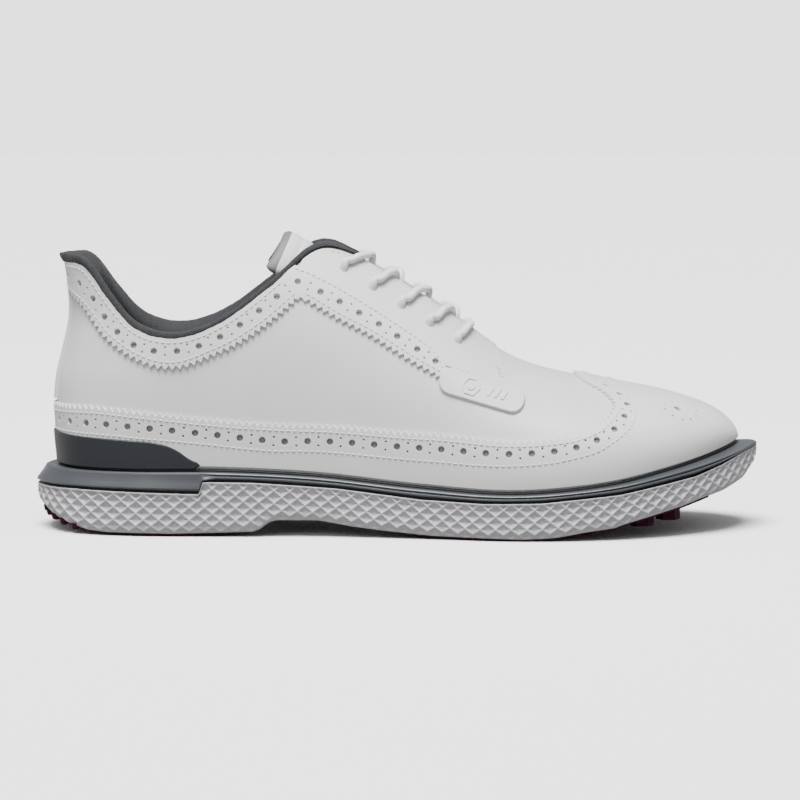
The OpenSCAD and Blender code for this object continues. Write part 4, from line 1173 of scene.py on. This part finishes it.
# ---- insole
def insole():
    """Fabric cover of the insole, with its edge rolled over."""
    n = 160
    t = np.linspace(0, 10, n + 1)
    t, sides = np.concatenate([t, t[-2:0:-1]]), both_sides(n)
    inn = -5.4 - np.where(t > 8, 6 * ((t - 8) / 2) ** 2, 0)
    rings = []
    for d, z in ((-0.2, 4.9), (0, 5.3), (-0.4, 5.7), (-3, 5.9), (-8, 5.6), (-16, 5.4)):
        x, y = plan(t, sides, inn + d)
        up = np.where(t < 3.4, 1.2 * (1 + d / 16), 0)
        rings.append(np.stack([x, y, z_foot(t) + z + up], -1))
    return ring_mesh("insole_top", rings, M_INSOLE)


place(insole(), "insole", "collar_fabric", "insole_cover")


# ---- stage, light and camera
def floor():
    n = 40
    x = np.linspace(-2.5, 2.5, n)
    g = np.array([[(a, b, 0.0) for b in np.linspace(-2.5, 4.0, n)] for a in x])
    o = new_mesh("floor", g.reshape(-1, 3), grid_faces(n, n), None, None, scale=1.0)
    m = material("floor_pale", (0.93, 0.93, 0.93), 0.7, 0.004, 3, [("noise", 30, 0.0001, 0.1)], spec=0.2)
    o.data.materials.append(m)
    # bright to look at, but throwing less light back up under the shoe
    ft = m.node_tree
    seen = shader(ft, "LightPath")
    mixer = shader(ft, "MixRGB", Color1=(0.18, 0.18, 0.18, 1))
    base = ft.nodes["Principled BSDF"].inputs["Base Color"]
    ft.links.new(base.links[0].from_socket, mixer.inputs["Color2"])
    ft.links.new(seen.outputs["Is Camera Ray"], mixer.inputs["Fac"])
    ft.links.new(mixer.outputs["Color"], base)


floor()
w = bpy.data.worlds.new("studio")
bpy.context.scene.world = w
w.use_nodes = True
# even soft light, brighter in a narrow band at the horizon so that the floor has no dark edge
nt = w.node_tree
bg = nt.nodes["Background"]
bg.inputs["Color"].default_value = (1, 1, 1, 1)
co = shader(nt, "TexCoord")
sep = shader(nt, "SeparateXYZ")
fade = shader(nt, "MapRange", From_Min=0.02, From_Max=0.07, To_Min=2.5, To_Max=0.4)
nt.links.new(co.outputs["Generated"], sep.inputs["Vector"])
nt.links.new(sep.outputs["Z"], fade.inputs["Value"])
nt.links.new(fade.outputs["Result"], bg.inputs["Strength"])


def aim(ob, way):
    """Links a light or the camera, looking along a direction."""
    ob.rotation_euler = Vector(way).to_track_quat("-Z", "Y").to_euler()
    bpy.context.collection.objects.link(ob)


def area(name, loc, power):
    """A soft light half a metre across, turned to the shoe."""
    li = bpy.data.lights.new(name, "AREA")
    li.size = 0.5
    li.energy = power
    ob = bpy.data.objects.new(name, li)
    ob.location = loc
    aim(ob, Vector((0, 0, 0.05)) - Vector(loc))


li = bpy.data.lights.new("key_soft", "SUN")
li.energy = 8.6
li.angle = 0.6
aim(bpy.data.objects.new("key_soft", li), (0.1, 0.34, -1.0))
area("top_soft", (-0.1, -0.1, 1.2), 7)
area("front_soft", (-0.5, -1.5, 0.8), 4)

# the camera looks at the outer side, from a little above
CAM_TARGET = Vector((0, 0, 0.058))
CAM_DISTANCE = 1.7
CAM_RISE = math.radians(5.5)
cam = bpy.data.cameras.new("camera")
cam.lens = 182.14
cam.sensor_width = 36
cam.clip_end = 20
cam.shift_x = 0.005
cam.shift_y = -0.0156
ob = bpy.data.objects.new("camera", cam)
fwd = Vector((0, math.cos(CAM_RISE), -math.sin(CAM_RISE)))
ob.location = CAM_TARGET - fwd * CAM_DISTANCE
aim(ob, fwd)
bpy.context.scene.camera = ob
